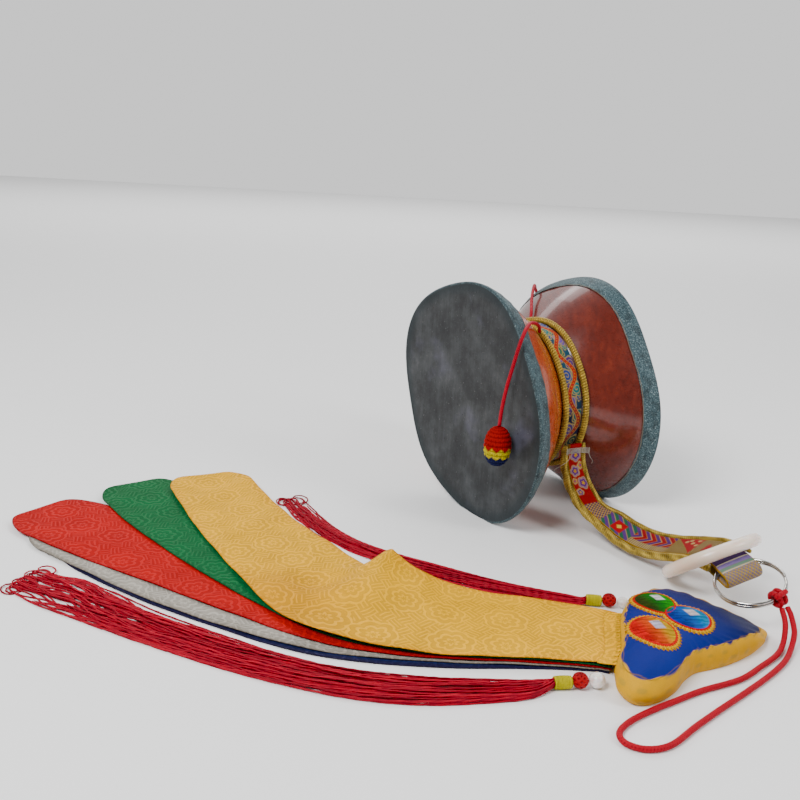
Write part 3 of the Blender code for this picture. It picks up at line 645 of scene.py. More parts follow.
def surface(name: str, rows: Array, tint: Optional[Array] = None, relief: Optional[Array] = None,
            uv: Optional[Array] = None, zone: Optional[Array] = None,
            capped: bool = True) -> bpy.types.Object:
    """Shape one grid through the given rows of points and close it.

    Points that meet, as at a seam or a pole, are merged, and open ends are filled.

    Args:
        name: name of the object.
        rows: points, as rows x columns x 3, in metres.
        tint: linear colours per point.
        relief: height of a pattern per point, 0 to 1.
        uv: place on the cloth per point, in metres.
        zone: value per point that tells parts of a surface apart.
        capped: whether open ends are filled.

    Returns:
        The object, with no material yet.
    """
    length, width = rows.shape[:2]
    mesh = bmesh.new()
    mesh.loops.layers.uv.new("UVMap")
    bmesh.ops.create_grid(mesh, x_segments=width - 1, y_segments=length - 1, size=0.5, calc_uvs=True)
    data = bpy.data.meshes.new(name)
    mesh.to_mesh(data)
    mesh.free()
    flat = np.empty(len(data.vertices) * 3)
    data.vertices.foreach_get("co", flat)
    spots = flat.reshape(-1, 3) + 0.5
    column = np.rint(spots[:, 0] * (width - 1)).astype(int)
    row = np.rint(spots[:, 1] * (length - 1)).astype(int)
    data.vertices.foreach_set("co", rows[row, column].astype(np.float32).ravel())
    if uv is not None:
        corner = np.empty(len(data.loops), dtype=np.int32)
        data.loops.foreach_get("vertex_index", corner)
        data.uv_layers["UVMap"].data.foreach_set("uv", uv[row, column][corner].astype(np.float32).ravel())
    colour = np.ones((len(column), 4), dtype=np.float32)
    colour[:, :3] = 0.5 if tint is None else tint[row, column]
    data.color_attributes.new("tint", "FLOAT_COLOR", "POINT").data.foreach_set("color", colour.ravel())
    for label, values in (("relief", relief), ("zone", zone)):
        if values is not None:
            layer = data.attributes.new(label, "FLOAT", "POINT")
            layer.data.foreach_set("value", values[row, column].astype(np.float32))
    mesh = bmesh.new()
    mesh.from_mesh(data)
    bmesh.ops.remove_doubles(mesh, verts=mesh.verts, dist=2e-7)
    if capped:
        bmesh.ops.holes_fill(mesh, edges=[edge for edge in mesh.edges if edge.is_boundary])
    bmesh.ops.recalc_face_normals(mesh, faces=mesh.faces)
    return finished(name, mesh, data)


def finished(name: str, mesh: bmesh.types.BMesh, data: bpy.types.Mesh) -> bpy.types.Object:
    """Write a worked mesh back, shade it smooth and put it in the scene.

    Args:
        name: name of the object.
        mesh: the worked mesh, which is freed.
        data: where it is written.

    Returns:
        The object.
    """
    mesh.to_mesh(data)
    mesh.free()
    data.shade_smooth()
    piece = bpy.data.objects.new(name, data)
    bpy.context.scene.collection.objects.link(piece)
    return piece


def joined(name: str, parts: Sequence[bpy.types.Object]) -> bpy.types.Object:
    """Join finished strands into one piece.

    Args:
        name: name of the joined object.
        parts: strands, which are used up.

    Returns:
        The joined object.
    """
    mesh = bmesh.new()
    for part in parts:
        data = part.data
        mesh.from_mesh(data)
        bpy.data.objects.remove(part)
        bpy.data.meshes.remove(data)
    return finished(name, mesh, bpy.data.meshes.new(name))


def path_frames(path: Array, closed: bool = False, axis: Optional[Array] = None) -> tuple:
    """Give two directions across a path.

    Args:
        path: points in metres.
        closed: whether the path ends where it starts.
        axis: a fixed direction to keep across, or None to carry one along.

    Returns:
        Sides and rises, one of each for every point.
    """
    if closed:
        loop = path[:-1]
        heading = np.roll(loop, -1, axis=0) - np.roll(loop, 1, axis=0)
        heading = unit(np.vstack([heading, heading[:1]]))
    else:
        heading = unit(np.gradient(path, axis=0))
    if axis is not None:
        side = unit(np.cross(heading, axis))
        return side, np.cross(side, heading)
    side = np.empty_like(path)
    start = np.cross(heading[0], (0.0, 0.0, 1.0))
    if np.linalg.norm(start) < 0.1:
        start = np.cross(heading[0], (0.0, 1.0, 0.0))
    side[0] = unit(start)
    for index in range(1, len(path)):
        side[index] = unit(side[index - 1] - heading[index] * side[index - 1].dot(heading[index]))
    return side, np.cross(side, heading)


def tube_rows(path: Array, reach: Array, frames: tuple) -> Array:
    """Give the rows of a tube whose reach is given per point and angle.

    Args:
        path: centreline in metres.
        reach: distance from the centreline, as points x angles.
        frames: sides and rises along the path.

    Returns:
        The rows of points.
    """
    side, rise = frames
    angle = np.linspace(0.0, TURN, reach.shape[1])
    across = side[:, None, :] * np.cos(angle)[None, :, None]
    up = rise[:, None, :] * np.sin(angle)[None, :, None]
    rows = path[:, None, :] + (across + up) * reach[..., None]
    rows[:, -1] = rows[:, 0]
    return rows


def braided_tube(name: str, path: Array, radius: float, codes: Sequence[str], pitch_mm: float,
                 closed: bool = False, axis: Optional[Array] = None, depth: float = 0.12) -> bpy.types.Object:
    """Make a braided cord: two sets of three strands that cross over each other.

    Args:
        name: name of the object.
        path: centreline in metres.
        radius: outer radius in metres.
        codes: hex colours of the grooves, painted dark as shade, and of the strands.
        pitch_mm: length of one turn of a strand.
        closed: whether the path is a ring.
        axis: direction kept across on a ring.
        depth: depth of the grooves as a share of the radius.

    Returns:
        The cord.
    """
    angle = np.linspace(0.0, TURN, 15)[None, :]
    along = distances(path)[:, None] / MM
    turns = round(along[-1, 0] / pitch_mm) / along[-1, 0] if closed else 1.0 / pitch_mm
    first = np.abs(np.sin(1.5 * (angle + TURN * along * turns)))
    second = np.abs(np.sin(1.5 * (angle - TURN * along * turns)))
    lift = np.maximum(first, second) ** 0.8
    lift = (lift - lift.min()) / (lift.max() - lift.min())
    rows = tube_rows(path, radius * (1.0 - depth * (1.0 - lift)), path_frames(path, closed, axis))
    # Painted shade: the grooves between the strands take the dark colour.
    tint = dye(codes[0]) * (1.0 - lift[..., None]) + dye(codes[1]) * lift[..., None]
    if closed:
        rows[-1] = rows[0]
        tint[-1] = tint[0]
    return surface(name, rows, tint, lift)


def ribbed_tube(name: str, path: Array, radius: Array, codes: Sequence[str], rib_mm: float,
                closed: bool = False, axis: Optional[Array] = None, sides: int = 30, slant: float = 1.0,
                depth: float = 0.10,
                crease: float = 0.0, seed: float = 0.0) -> bpy.types.Object:
    """Make a rolled ribbon or wound thread with ribs across it.

    Args:
        name: name of the object.
        path: centreline in metres.
        radius: outer radius in metres, one value or one per point.
        codes: hex colours from groove to crest: painted shade in grooves and creases, painted highlight on
            crests.
        rib_mm: distance between ribs.
        closed: whether the path is a ring.
        axis: direction kept across on a ring.
        sides: points around.
        slant: how many ribs the pattern shifts in one turn.
        depth: depth of the ribs as a share of the radius.
        crease: depth of long soft creases as a share of the radius.
        seed: start of the creases.

    Returns:
        The tube.
    """
    angle = np.linspace(0.0, TURN, sides + 1)[None, :]
    along = distances(path)[:, None] / MM
    ribs = along / rib_mm
    if closed:
        ribs = ribs * round(ribs[-1, 0]) / ribs[-1, 0]
        folds = np.sin(2 * angle + seed) * np.ones_like(along)
    else:
        folds = np.sin(2 * angle + 0.21 * along + seed) * np.sin(angle - 0.13 * along + 2.1 * seed)
        folds += 0.6 * np.sin(3 * angle + 0.37 * along + seed)
    lift = np.abs(np.sin(math.pi * ribs + slant * 0.5 * angle)) ** 0.7
    reach = np.broadcast_to(np.asarray(radius, dtype=float).reshape(-1, 1), lift.shape)
    reach = reach * (1.0 - depth * (1.0 - lift) - crease * (0.5 + 0.31 * folds))
    rows = tube_rows(path, reach, path_frames(path, closed, axis))
    # Painted shade and highlight: the tint is dark in grooves and creases and bright on the crests.
    part = 0.25 + min(crease, 0.2)
    share = np.clip((1.0 - part) * lift + part * (0.5 - 0.5 * folds), 0.0, 1.0)[..., None]
    bright = hashed(np.floor(ribs))[..., None] * 0.35
    tint = dye(codes[0]) * (1.0 - share) + dye(codes[1]) * share * (0.80 + bright)
    if closed:
        rows[-1] = rows[0]
        tint[-1] = tint[0]
    return surface(name, rows, tint, share[..., 0])


def strand(path: Array, radius: float, sides: int, codes: Sequence[str], shade: float = 1.0,
           twist_mm: float = 6.9) -> bpy.types.Object:
    """Twist one closed two-ply strand along a path.

    Args:
        path: centreline in metres.
        radius: outer radius in metres.
        sides: points around.
        codes: hex colours of the grooves, painted dark as shade, and of the plies.
        shade: brightness of the whole strand.
        twist_mm: length of one full twist.

    Returns:
        The strand.
    """
    angle = np.linspace(0.0, TURN, sides + 1)[None, :]
    ply = 0.5 + 0.5 * np.sin(2.0 * angle + distances(path)[:, None] * TURN / (twist_mm * MM))
    reach = radius * (0.70 + 0.30 * ply)
    reach[[0, -1]] *= 0.5
    rows = tube_rows(path, reach, path_frames(path))
    rows[..., 2] = np.maximum(rows[..., 2], 0.15 * MM)
    # Painted shade: the grooves between the plies take the dark colour.
    tint = (dye(codes[0]) * (1.0 - ply[..., None]) + dye(codes[1]) * ply[..., None]) * shade
    return surface("strand", rows, tint, ply)


@dataclass
class Assembly:
    """Shares the materials, and gives each finished piece its material and ties it to the frame."""

    materials: Materials

    def keep(self, piece: bpy.types.Object, slot: Slot, *nodes: str,
             tone: Tone = Tone.PLAIN) -> bpy.types.Object:
        """Give a piece its material and tie it to the frame.

        Args:
            piece: the finished object.
            slot: the record's material slot.
            nodes: frame nodes that it stands for.
            tone: variant of the material.

        Returns:
            The same object.
        """
        piece.data.materials.clear()
        piece.data.materials.append(self.materials.get(slot, tone))
        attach(piece, "root")
        if nodes:
            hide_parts(*nodes)
        LOG.info("%s: %s", piece.name, slot.value)
        return piece

    def tie(self, piece: bpy.types.Object, path: Array, radius: float, lay: str) -> None:
        """Work out the length of a cord's path, which is not kept.

        Args:
            piece: the cord; not used.
            path: its centreline in metres.
            radius: its radius in metres; not used.
            lay: how it lies; not used.
        """
        float(distances(path)[-1])


@dataclass(frozen=True)
class DrumShape:
    """Form and place of the drum, which the wood's grain and the strap follow too.

    Attributes:
        head_radius: mean radius of a wooden rim.
        head_oval: order, cosine and sine share of each wave that makes the rim uneven.
        waist_radius: outer radius at the joint of the bowls.
        bowl_depth: depth of one bowl.
        roundness: exponent of the bowl's swell.
        braid_radius: radius of a belt braid.
        braid_offset: distance of a braid from the joint.
        axis_height: height of the drum's axis over the floor.
        middle: place of the joint on the layout grid.
        yaw: angle of the drum's own x axis.
    """

    head_radius: float = 0.110
    head_oval: tuple = (
        (2, -0.0024, -0.0096), (3, -0.0016, -0.0005), (4, -0.0010, -0.0020), (5, 0.0015, 0.0012))
    waist_radius: float = 0.0486
    bowl_depth: float = 0.0760
    roundness: float = 1.25
    braid_radius: float = 0.0032
    braid_offset: float = 0.0132
    axis_height: float = 0.11147
    middle: tuple = (130.0, 890.0)
    yaw: float = math.radians(-56.3)

    def point(self, x: Array, y: Array, z: Array) -> Array:
        """Turn the drum's own metres, across, up and along its axis, into row metres."""
        x, y, z = np.broadcast_arrays(x, y, z)
        cosine, sine = math.cos(self.yaw), math.sin(self.yaw)
        centre = place(*self.middle, self.axis_height / MM)
        return np.stack([x * cosine + z * sine, x * sine - z * cosine, y], axis=-1) + centre

    def rim(self, angle: Array) -> Array:
        """Give the wooden rim's radius at an angle."""
        waves = sum(cosine * np.cos(order * angle) + sine * np.sin(order * angle)
                    for order, cosine, sine in self.head_oval)
        return self.head_radius + waves

    def bowl(self, angle: Array, depth: float) -> Array:
        """Give the bowl's outer radius at an angle and a depth from the joint."""
        share = min(max(depth / self.bowl_depth, 0.0), 1.0)
        swell = (1.0 - (1.0 - share) ** self.roundness) ** (1.0 / self.roundness)
        return self.waist_radius + (self.rim(angle) - self.waist_radius) * swell

    def belt_face(self, angle: Array) -> Array:
        """Give the radius of the braids' outer face at an angle."""
        step = 0.0005
        radius = self.bowl(angle, self.braid_offset)
        slope = (self.bowl(angle, self.braid_offset + step) - radius) / step
        return radius + (self.braid_radius + GAP) * np.hypot(1.0, slope) * 1.05 + self.braid_radius


@dataclass
class Drum(Assembly):
    """Two lacquered bowls with their skins, belt and knockers.

    Attributes:
        shape: form and place of the drum.
        columns: points round a bowl.
        wall: thickness of a bowl's wall.
        base: thickness of wood at the joint.
        rim_round: rounding of a rim.
        skin: thickness of a skin.
        skirt: width of the skin that is turned over the bowl.
        band_half: half the belt's width.
        band: thickness of the belt.
        pattern_mm: radius at which the belt's pattern is drawn.
        cord_radius: radius of a knocker's cord.
        ball: radius and half length of a knocker's ball.
        left_route: way of the left knocker's cord, in the drum's own millimetres.
        right_route: the same for the right one.
        left_ball: middle of the left ball.
        right_ball: middle of the right ball.
    """

    shape: DrumShape = DrumShape()
    columns: int = 180
    wall: float = 0.0055
    base: float = 0.0090
    rim_round: float = 0.0018
    skin: float = 0.0016
    skirt: float = 0.0160
    band_half: float = 0.0100
    band: float = 0.0030
    pattern_mm: float = 66.0
    cord_radius: float = 0.0017
    ball: tuple = (0.0130, 0.0190)
    left_route: tuple = (
        (28.0, 69.3, 17.6), (34.5, 75.5, 24.5), (47.0, 82.0, 40.0), (60.0, 86.0, 58.0), (71.0, 85.0, 72.0),
        (77.0, 79.5, 80.8), (75.5, 70.0, 83.0), (71.5, 50.0, 85.0), (68.5, 30.0, 87.5), (67.2, 10.0, 89.8),
        (67.0, -5.4, 90.9))
    right_route: tuple = (
        (-25.6, 70.4, -17.6), (-33.5, 77.0, -24.5), (-52.0, 85.5, -40.0), (-70.0, 93.0, -57.0),
        (-84.0, 94.0, -71.0), (-93.0, 88.0, -81.0), (-92.0, 79.0, -84.5), (-87.0, 62.0, -86.0),
        (-82.0, 42.0, -87.8), (-79.0, 22.0, -89.4), (-78.0, 6.0, -90.6), (-78.0, -5.4, -90.9))
    left_ball: tuple = (67.0, -25.0, 91.0)
    right_ball: tuple = (-78.0, -25.0, -91.0)

    def ring(self, depth: float, outset: float, side: int, level: float, height: Optional[float] = None,
             share: float = 1.0) -> Array:
        """Give one ring round the drum, flattened where it meets the surface.

        Args:
            depth: depth at which the bowl's radius is read.
            outset: distance outside the bowl.
            side: 1 for the left bowl, -1 for the right one.
            level: height of the axis over the flat.
            height: distance from the joint, if it isn't the depth.
            share: factor on the radius.

        Returns:
            The ring's points.
        """
        angle = np.linspace(0.0, TURN, self.columns + 1)
        radius = (self.shape.bowl(angle, depth) + outset) * share
        up = np.maximum(radius * np.sin(angle), -level)
        along = side * (depth if height is None else height)
        return self.shape.point(radius * np.cos(angle), up, along)

    def turned_bowl(self, name: str, side: int, tone: Tone) -> None:
        """Turn one hollow bowl.

        Args:
            name: which bowl it is.
            side: 1 for the left bowl, -1 for the right one.
            tone: tone of its wood.
        """
        full = self.shape.bowl_depth
        level = self.shape.axis_height - self.skin
        depths = full * np.linspace(0.0, 1.0, 38) ** 1.25
        rows = [self.ring(0.0, -self.shape.waist_radius, side, level, 0.0002, 0.0)]
        rows += [self.ring(0.0, -0.012 * share, side, level, 0.0002) for share in (1.0, 0.5, 0.15)]
        rows += [self.ring(max(depth, 0.0002), 0.0, side, level) for depth in depths[:-1]]
        for turn in np.linspace(0.0, math.pi / 2.0, 4):
            inset = self.rim_round * (1.0 - math.cos(turn))
            height = full - self.rim_round * (1.0 - math.sin(turn))
            rows.append(self.ring(full, -inset, side, level - inset, height))
        inner = level - self.wall
        for depth in np.linspace(full, self.base, 12):
            rows.append(self.ring(depth, -self.wall * 1.3, side, inner))
        rows.append(self.ring(self.base, -self.shape.waist_radius, side, inner, self.base, 0.0))
        self.keep(surface("bowl_body_" + name, np.array(rows)), Slot.WOOD, "bowl_" + name, tone=tone)

    def stretched_skin(self, name: str, side: int) -> None:
        """Stretch one skin over the rim, with a slight dish and a puckered skirt.

        Args:
            name: which skin it is.
            side: 1 for the left bowl, -1 for the right one.
        """
        angle = np.linspace(0.0, TURN, self.columns + 1)
        level, full = self.shape.axis_height, self.shape.bowl_depth
        plane = full + self.skin
        rows, zones, spots = [], [], []

        def put(ring: Array, zone: float, share: float) -> None:
            """Add one ring with its zone and its place on the cloth."""
            rows.append(ring)
            zones.append(np.full(angle.shape, zone))
            reach = self.shape.rim(angle) * share
            spots.append(np.stack([reach * np.cos(angle), reach * np.sin(angle)], axis=-1))

        for share in (0.0, 0.4, 0.8, 0.97):
            put(self.ring(full, GAP, side, level - 0.0012, full + GAP, share), share, share)
        for depth in np.linspace(full, full - self.skirt, 5):
            put(self.ring(depth, GAP, side, level - 0.0012), 1.5, 1.0)
        depths = np.linspace(full - self.skirt, full - self.rim_round, 16)
        for step, depth in enumerate(depths):
            share = step / (len(depths) - 1)
            pucker = 0.00030 * (1.0 - share) * np.sin(46 * angle + 3.0 * np.sin(5 * angle))
            wander = 0.0007 * (1.0 - share) ** 2 * np.sin(9 * angle + side)
            lift = self.skin - 0.0005 * (1.0 - share) ** 6 + pucker
            put(self.ring(depth, lift, side, level, depth + wander), 2.0 - share * 0.9, 1.05)
        for turn in np.linspace(0.15, math.pi / 2.0, 6):
            inset = self.rim_round * (1.0 - math.cos(turn))
            height = plane - self.rim_round * (1.0 - math.sin(turn))
            put(self.ring(full, self.skin - inset, side, level - inset, height), 1.0, 1.0)
        for share in np.linspace(0.975, 0.0, 46):
            dish = 0.0011 * (1.0 - share ** 2)
            ripple = 0.00012 * np.sin(7.0 * angle) * share * math.sin(9.0 * share) * (share > 0)
            put(self.ring(full, self.skin, side, level, plane - dish + ripple, share), share, share)
        piece = surface("head_" + name, np.array(rows), zone=np.array(zones), uv=np.array(spots))
        self.keep(piece, Slot.SKIN, "head_skin_" + name)

    def belt(self) -> None:
        """Wrap the brocade band and its ribbed braids round the waist."""
        angle = np.linspace(0.0, TURN, 901)[:, None]
        across = np.concatenate([np.linspace(-1.0, 1.0, 44), np.linspace(1.0, -1.0, 44)[1:]])[None, :]
        sign = np.concatenate([np.ones(44), -np.ones(43)])[None, :]
        bulge = np.sqrt(np.clip(1.0 - np.abs(across) ** 6, 0.0, 1.0))
        middle = self.shape.belt_face(angle) - self.shape.braid_radius * 1.6 - self.band / 2.0
        radius = middle + sign * bulge * self.band / 2.0 + 0.0003 * np.sin(13 * angle) * (sign > 0) * bulge
        rows = self.shape.point(radius * np.cos(angle), radius * np.sin(angle), across * self.band_half)
        rows[-1] = rows[0]
        canvas = self.brocade(Canvas(across * self.band_half / MM, angle * self.pattern_mm, "35566a"))
        canvas.colour[-1] = canvas.colour[0]
        canvas.relief[-1] = canvas.relief[0]
        cloth = np.stack([canvas.x, canvas.y], axis=-1) * MM
        self.keep(surface("waist_band", rows, canvas.colour, canvas.relief, cloth), Slot.BELT, "waist_belt")
        ring = np.linspace(0.0, TURN, 1101)
        radius = self.shape.belt_face(ring) - self.shape.braid_radius
        axis = self.shape.point(0.0, 0.0, 1.0) - self.shape.point(0.0, 0.0, 0.0)
        for name, side in (("left", 1.0), ("right", -1.0)):
            offset = side * self.shape.braid_offset
            path = self.shape.point(radius * np.cos(ring), radius * np.sin(ring), offset)
            braid = ribbed_tube("braid_" + name, path, self.shape.braid_radius, ("5a3c10", "ffd88c"), 2.6,
                                closed=True, axis=axis, sides=18, slant=2.0, depth=0.20)
            self.keep(braid, Slot.GOLD, "belt_braid_" + name)

    def brocade(self, canvas: Canvas) -> Canvas:
        """Weave curled clouds and a winding red ribbon round the belt, with painted shade darkening its lower
        half.

        Args:
            canvas: the belt's canvas, across and along in millimetres.

        Returns:
            The same canvas.
        """
        x, y = canvas.x, canvas.y
        # Painted shade: the lower half of the belt is painted dark navy.
        low = soft(0.12 - np.sin(y / self.pattern_mm), 0.5)
        canvas.paint(low, "15183a")
        fills = ("7a5fb4", "2b7f83", "3a4f92", "54307e", "2f6a58")
        count = 32
        spacing = TURN * self.pattern_mm / count
        for index in range(count):
            side = -1.0 if index % 2 else 1.0
            for cx, cy, size, fill in (
                    (side * 4.6, (index + 0.5) * spacing, 7.2, fills[index % 5]),
                    (-side * 6.4, (index + 0.9) * spacing, 4.2, fills[(index + 2) % 5])):
                reach = np.hypot(x - cx, y - cy)
                turn = np.arctan2(y - cy, (x - cx) * side) / TURN
                edge = size + 0.8 * np.cos(5.0 * TURN * turn)
                disc = soft(edge - reach)
                canvas.paint(disc, fill, 0.5)
                # Painted shade: the discs on the lower half are painted darker.
                canvas.paint(disc * low * 0.62, "10132c", 0.4)
                curl = canvas.span((reach * 0.30 + turn) % 1.0, 0.0, 0.26, 0.08) * soft(edge - 0.8 - reach)
                canvas.paint(curl, "bfa878", 0.9)
                canvas.paint(canvas.span(reach - edge, -0.8, 0.2, 0.4), "bfa878", 0.9)
        away = np.abs(x - 6.2 * np.sin(y / self.pattern_mm * 9.0))
        ribbon = canvas.span(away, -1.0, 2.4)
        canvas.paint(canvas.span(away, -1.0, 3.1), "c4ac74", 0.8)
        canvas.paint(ribbon, "b80834", 0.9)
        # Painted shade: the ribbon is painted darker on the lower half.
        canvas.paint(ribbon * low * 0.5, "3a1030", 0.8)
        canvas.paint(canvas.span(away, -1.0, 0.4) * canvas.span(y % 3.0, 0.0, 1.4), "e6c76a", 1.0)
        return canvas

    def knocker(self, name: str, route: Sequence, centre: Sequence) -> None:
        """Hang one crocheted ball on its braided cord.

        Args:
            name: which knocker it is.
            route: way of its cord, in the drum's own millimetres.
            centre: middle of its ball, in the same.
        """
        path = self.shape.point(*(smooth_rows(route, 190) * MM).T)
        cord = braided_tube("knocker_braid_" + name, path, self.cord_radius, ("6a0424", "b8063c"), 5.4,
                            depth=0.16)
        self.keep(cord, Slot.CORD, "knocker_cord_" + name)
        self.tie(cord, path, self.cord_radius, "hanging")
        radius, half_length = self.ball
        high = np.linspace(0.0, 1.0, 92)[:, None]
        angle = np.linspace(0.0, TURN, 121)[None, :]
        courses = high * 13.0
        stitch = angle / TURN * 17.0 + 0.5 * np.floor(courses)
        row_part, part = courses % 1.0, np.abs((stitch % 1.0) - 0.5) * 2.0
        lift = np.sin(math.pi * row_part) ** 0.6 * (1.0 - np.abs(part - 0.55 * row_part - 0.2)) ** 1.5
        reach = radius * (0.90 + 0.10 * lift) * np.sin(math.pi * high) ** 0.85
        up = -(half_length - 0.0006 * (1.0 - lift)) * np.cos(math.pi * high)
        rows = np.stack([reach * np.cos(angle), reach * np.sin(angle), up], axis=-1)
        rows += self.shape.point(*(np.array(centre) * MM))
        rows[:, -1] = rows[:, 0]
        rows[0], rows[-1] = rows[0, 0], rows[-1, 0]
        zigzag = 0.07 * np.abs((angle / TURN * 9.0) % 1.0 - 0.5) * 2.0
        canvas = Canvas(angle / MM * radius, high, "b3142a")
        canvas.paint(soft(0.44 + zigzag - high, 0.02), "f0e23c")
        canvas.paint(soft(0.30 + zigzag - high, 0.02), "1c2256")
        # Painted shade: the ball is painted darker in the grooves between its stitches.
        ball = surface("crochet_ball_" + name, rows, canvas.colour * (0.55 + 0.45 * lift[..., None]), lift)
        self.keep(ball, Slot.CROCHET, "knocker_ball_" + name)

    def build(self) -> None:
        """Build every piece of the drum."""
        # Painted light: the left bowl's wood is painted lighter and warmer than the right one's.
        self.turned_bowl("left", 1, Tone.LIT_WARM)
        self.turned_bowl("right", -1, Tone.PLAIN)
        self.stretched_skin("left", 1)
        self.stretched_skin("right", -1)
        self.belt()
        self.knocker("left", self.left_route, self.left_ball)
        self.knocker("right", self.right_route, self.right_ball)


@dataclass
class Strap(Assembly):
    """Patchwork strap with its rolled edges, the two rings and the red cord.

    Attributes:
        shape: form and place of the drum that it hangs on.
        thickness: thickness of the panel.
        widths: width of the panel at the belt and at the fold.
        rolls: radius of the left and the right rolled edge.
        join: reach from the belt's face and angle on it.
        fall: lean and rise of the first points from the belt, in millimetres.
        run: layout place, yaw and tilt of the further points.
        fold: radius of the fold and length of its tail.
        bone: radius of the bone ring's tube and of its centreline.
        bone_place: middle of the bone ring on the layout grid.
        bone_normal: direction that it faces.
        coil: inner radius and wire radius of the steel ring.
        knot: angle of the hitch on the steel ring.
        cord_radius: radius of the red cord.
        cord_route: its way from and to the hitch on the layout grid.
        steps: points along the strap.
    """

    shape: DrumShape = DrumShape()
    thickness: float = 0.0036
    widths: tuple = (0.0165, 0.0320)
    rolls: tuple = (0.0042, 0.0026)
    join: tuple = (0.0046, math.radians(-24.0))
    fall: tuple = ((0.0, 0.0), (-0.3, -11.0), (2.5, -22.0), (9.0, -34.0), (19.5, -45.0), (34.0, -54.0))
    run: tuple = (
        (203.0, 784.0, 20.0, 35.0, 12.0), (216.5, 768.0, 14.8, 36.0, 17.0), (230.0, 750.0, 14.5, 35.0, 18.0),
        (243.5, 731.5, 19.5, 31.0, 19.0), (256.0, 713.0, 27.5, 26.0, 20.0), (266.0, 695.0, 34.5, 21.0, 20.0),
        (273.0, 677.0, 37.0, 18.0, 20.0), (278.5, 659.0, 35.0, 17.0, 20.0))
    fold: tuple = (0.0049, 0.0260)
    bone: tuple = (0.0060, 0.0369)
    bone_place: tuple = (267.5, 695.5, 29.24)
    bone_normal: tuple = (-0.378, 0.504, 0.777)
    coil: tuple = (0.0252, 0.00122)
    knot: float = math.radians(76.0)
    cord_radius: float = 0.0021
    cord_route: tuple = (
        (298.6, 621.2, 22.6), (299.5, 613.5, 14.5), (295.5, 602.5, 6.0), (285.5, 587.5, 3.0),
        (268.0, 571.0, 2.4), (246.0, 552.0, 2.4), (215.0, 536.0, 2.4), (192.0, 521.5, 2.4),
        (172.0, 508.5, 2.4), (156.0, 496.0, 2.4), (147.0, 484.0, 2.4), (149.0, 474.0, 2.4),
        (161.0, 469.5, 2.4), (177.0, 475.0, 2.4), (198.0, 495.0, 2.4), (220.0, 515.0, 2.4),
        (245.0, 537.0, 2.4), (270.0, 560.0, 2.4), (287.0, 578.0, 2.8), (297.5, 593.5, 4.5),
        (304.0, 606.0, 11.0), (304.5, 616.5, 19.0), (303.1, 622.0, 23.3))
    steps: int = 420

    def __post_init__(self) -> None:
        """Work out the strap's centreline and its directions."""
        rows = smooth_rows(self.route(), self.steps)
        self.centre = place(*rows[:, :3].T)
        self.heading = unit(np.gradient(self.centre, axis=0))
        yaw, tilt = np.radians(rows[:, 3]), np.radians(rows[:, 4])
        across = np.stack([np.cos(yaw) * np.cos(tilt), np.sin(yaw) * np.cos(tilt), np.sin(tilt)], axis=-1)
        self.across = unit(across - self.heading * (across * self.heading).sum(axis=1)[:, None])
        self.face = np.cross(self.heading, self.across)
        self.width = np.linspace(*self.widths, self.steps)
        self.pivot = self.centre[-1] - self.face[-1] * self.fold[0]

    def route(self) -> list:
        """Give the strap's route from the belt to the steel ring, with yaw and tilt."""
        reach, angle = self.join
        start = float(self.shape.belt_face(np.array([angle]))[0]) + reach
        yaw = self.shape.yaw
        rows = []
        for lean, rise in self.fall:
            out = start * math.cos(angle) / MM + lean
            height = (self.shape.axis_height + start * math.sin(angle)) / MM + rise
            x, y = self.shape.middle[0] + math.cos(yaw) * out, self.shape.middle[1] + math.sin(yaw) * out
            rows.append((x, y, height, math.degrees(yaw) + 90.0, 0.0))
        return rows + list(self.run)

    def panel(self) -> None:
        """Sew the patchwork panel, fold it round the steel ring and paint it."""
        radius, tail = self.fold
        centre, across, face = list(self.centre), list(self.across), list(self.face)
        for turn in np.linspace(0.0, math.pi, 34)[1:]:
            face.append(self.face[-1] * math.cos(turn) + self.heading[-1] * math.sin(turn))
            centre.append(self.pivot + face[-1] * radius)
            across.append(self.across[-1])
        end = centre[-1]
        for share in np.linspace(0.0, 1.0, 34)[1:]:
            centre.append(end - self.heading[-1] * tail * share)
            across.append(self.across[-1])
            face.append(-self.face[-1])
        centre, across, face = np.array(centre), np.array(across), np.array(face)
        width = np.concatenate([self.width, np.full(len(centre) - self.steps, self.widths[1])])
        share = np.concatenate([np.linspace(-1.0, 1.0, 66), np.linspace(1.0, -1.0, 66)[1:]])[None, :]
        sign = np.concatenate([np.ones(66), -np.ones(65)])[None, :]
        bulge = np.sqrt(np.clip(1.0 - np.abs(share) ** 8, 0.0, 1.0))
        along = distances(centre)[:, None]
        quilt = 0.00022 * np.sin(along / 0.0095) * np.sin(share * 2.4 + along / 0.021) * (sign > 0)
        lift = sign * bulge * (self.thickness / 2.0) + quilt * bulge
        side = share * width[:, None] / 2.0
        rows = centre[:, None, :] + across[:, None, :] * side[..., None] + face[:, None, :] * lift[..., None]
        rows[:, -1] = rows[:, 0]
        canvas = self.patchwork(Canvas(side / MM, along / MM, "a31c2c"), width[:, None] / 2.0 / MM)
        cloth = np.stack([canvas.x, canvas.y], axis=-1) * MM
        piece = surface("strap_panel", rows, canvas.colour, canvas.relief, cloth)
        self.keep(piece, Slot.STRAP, "strap")

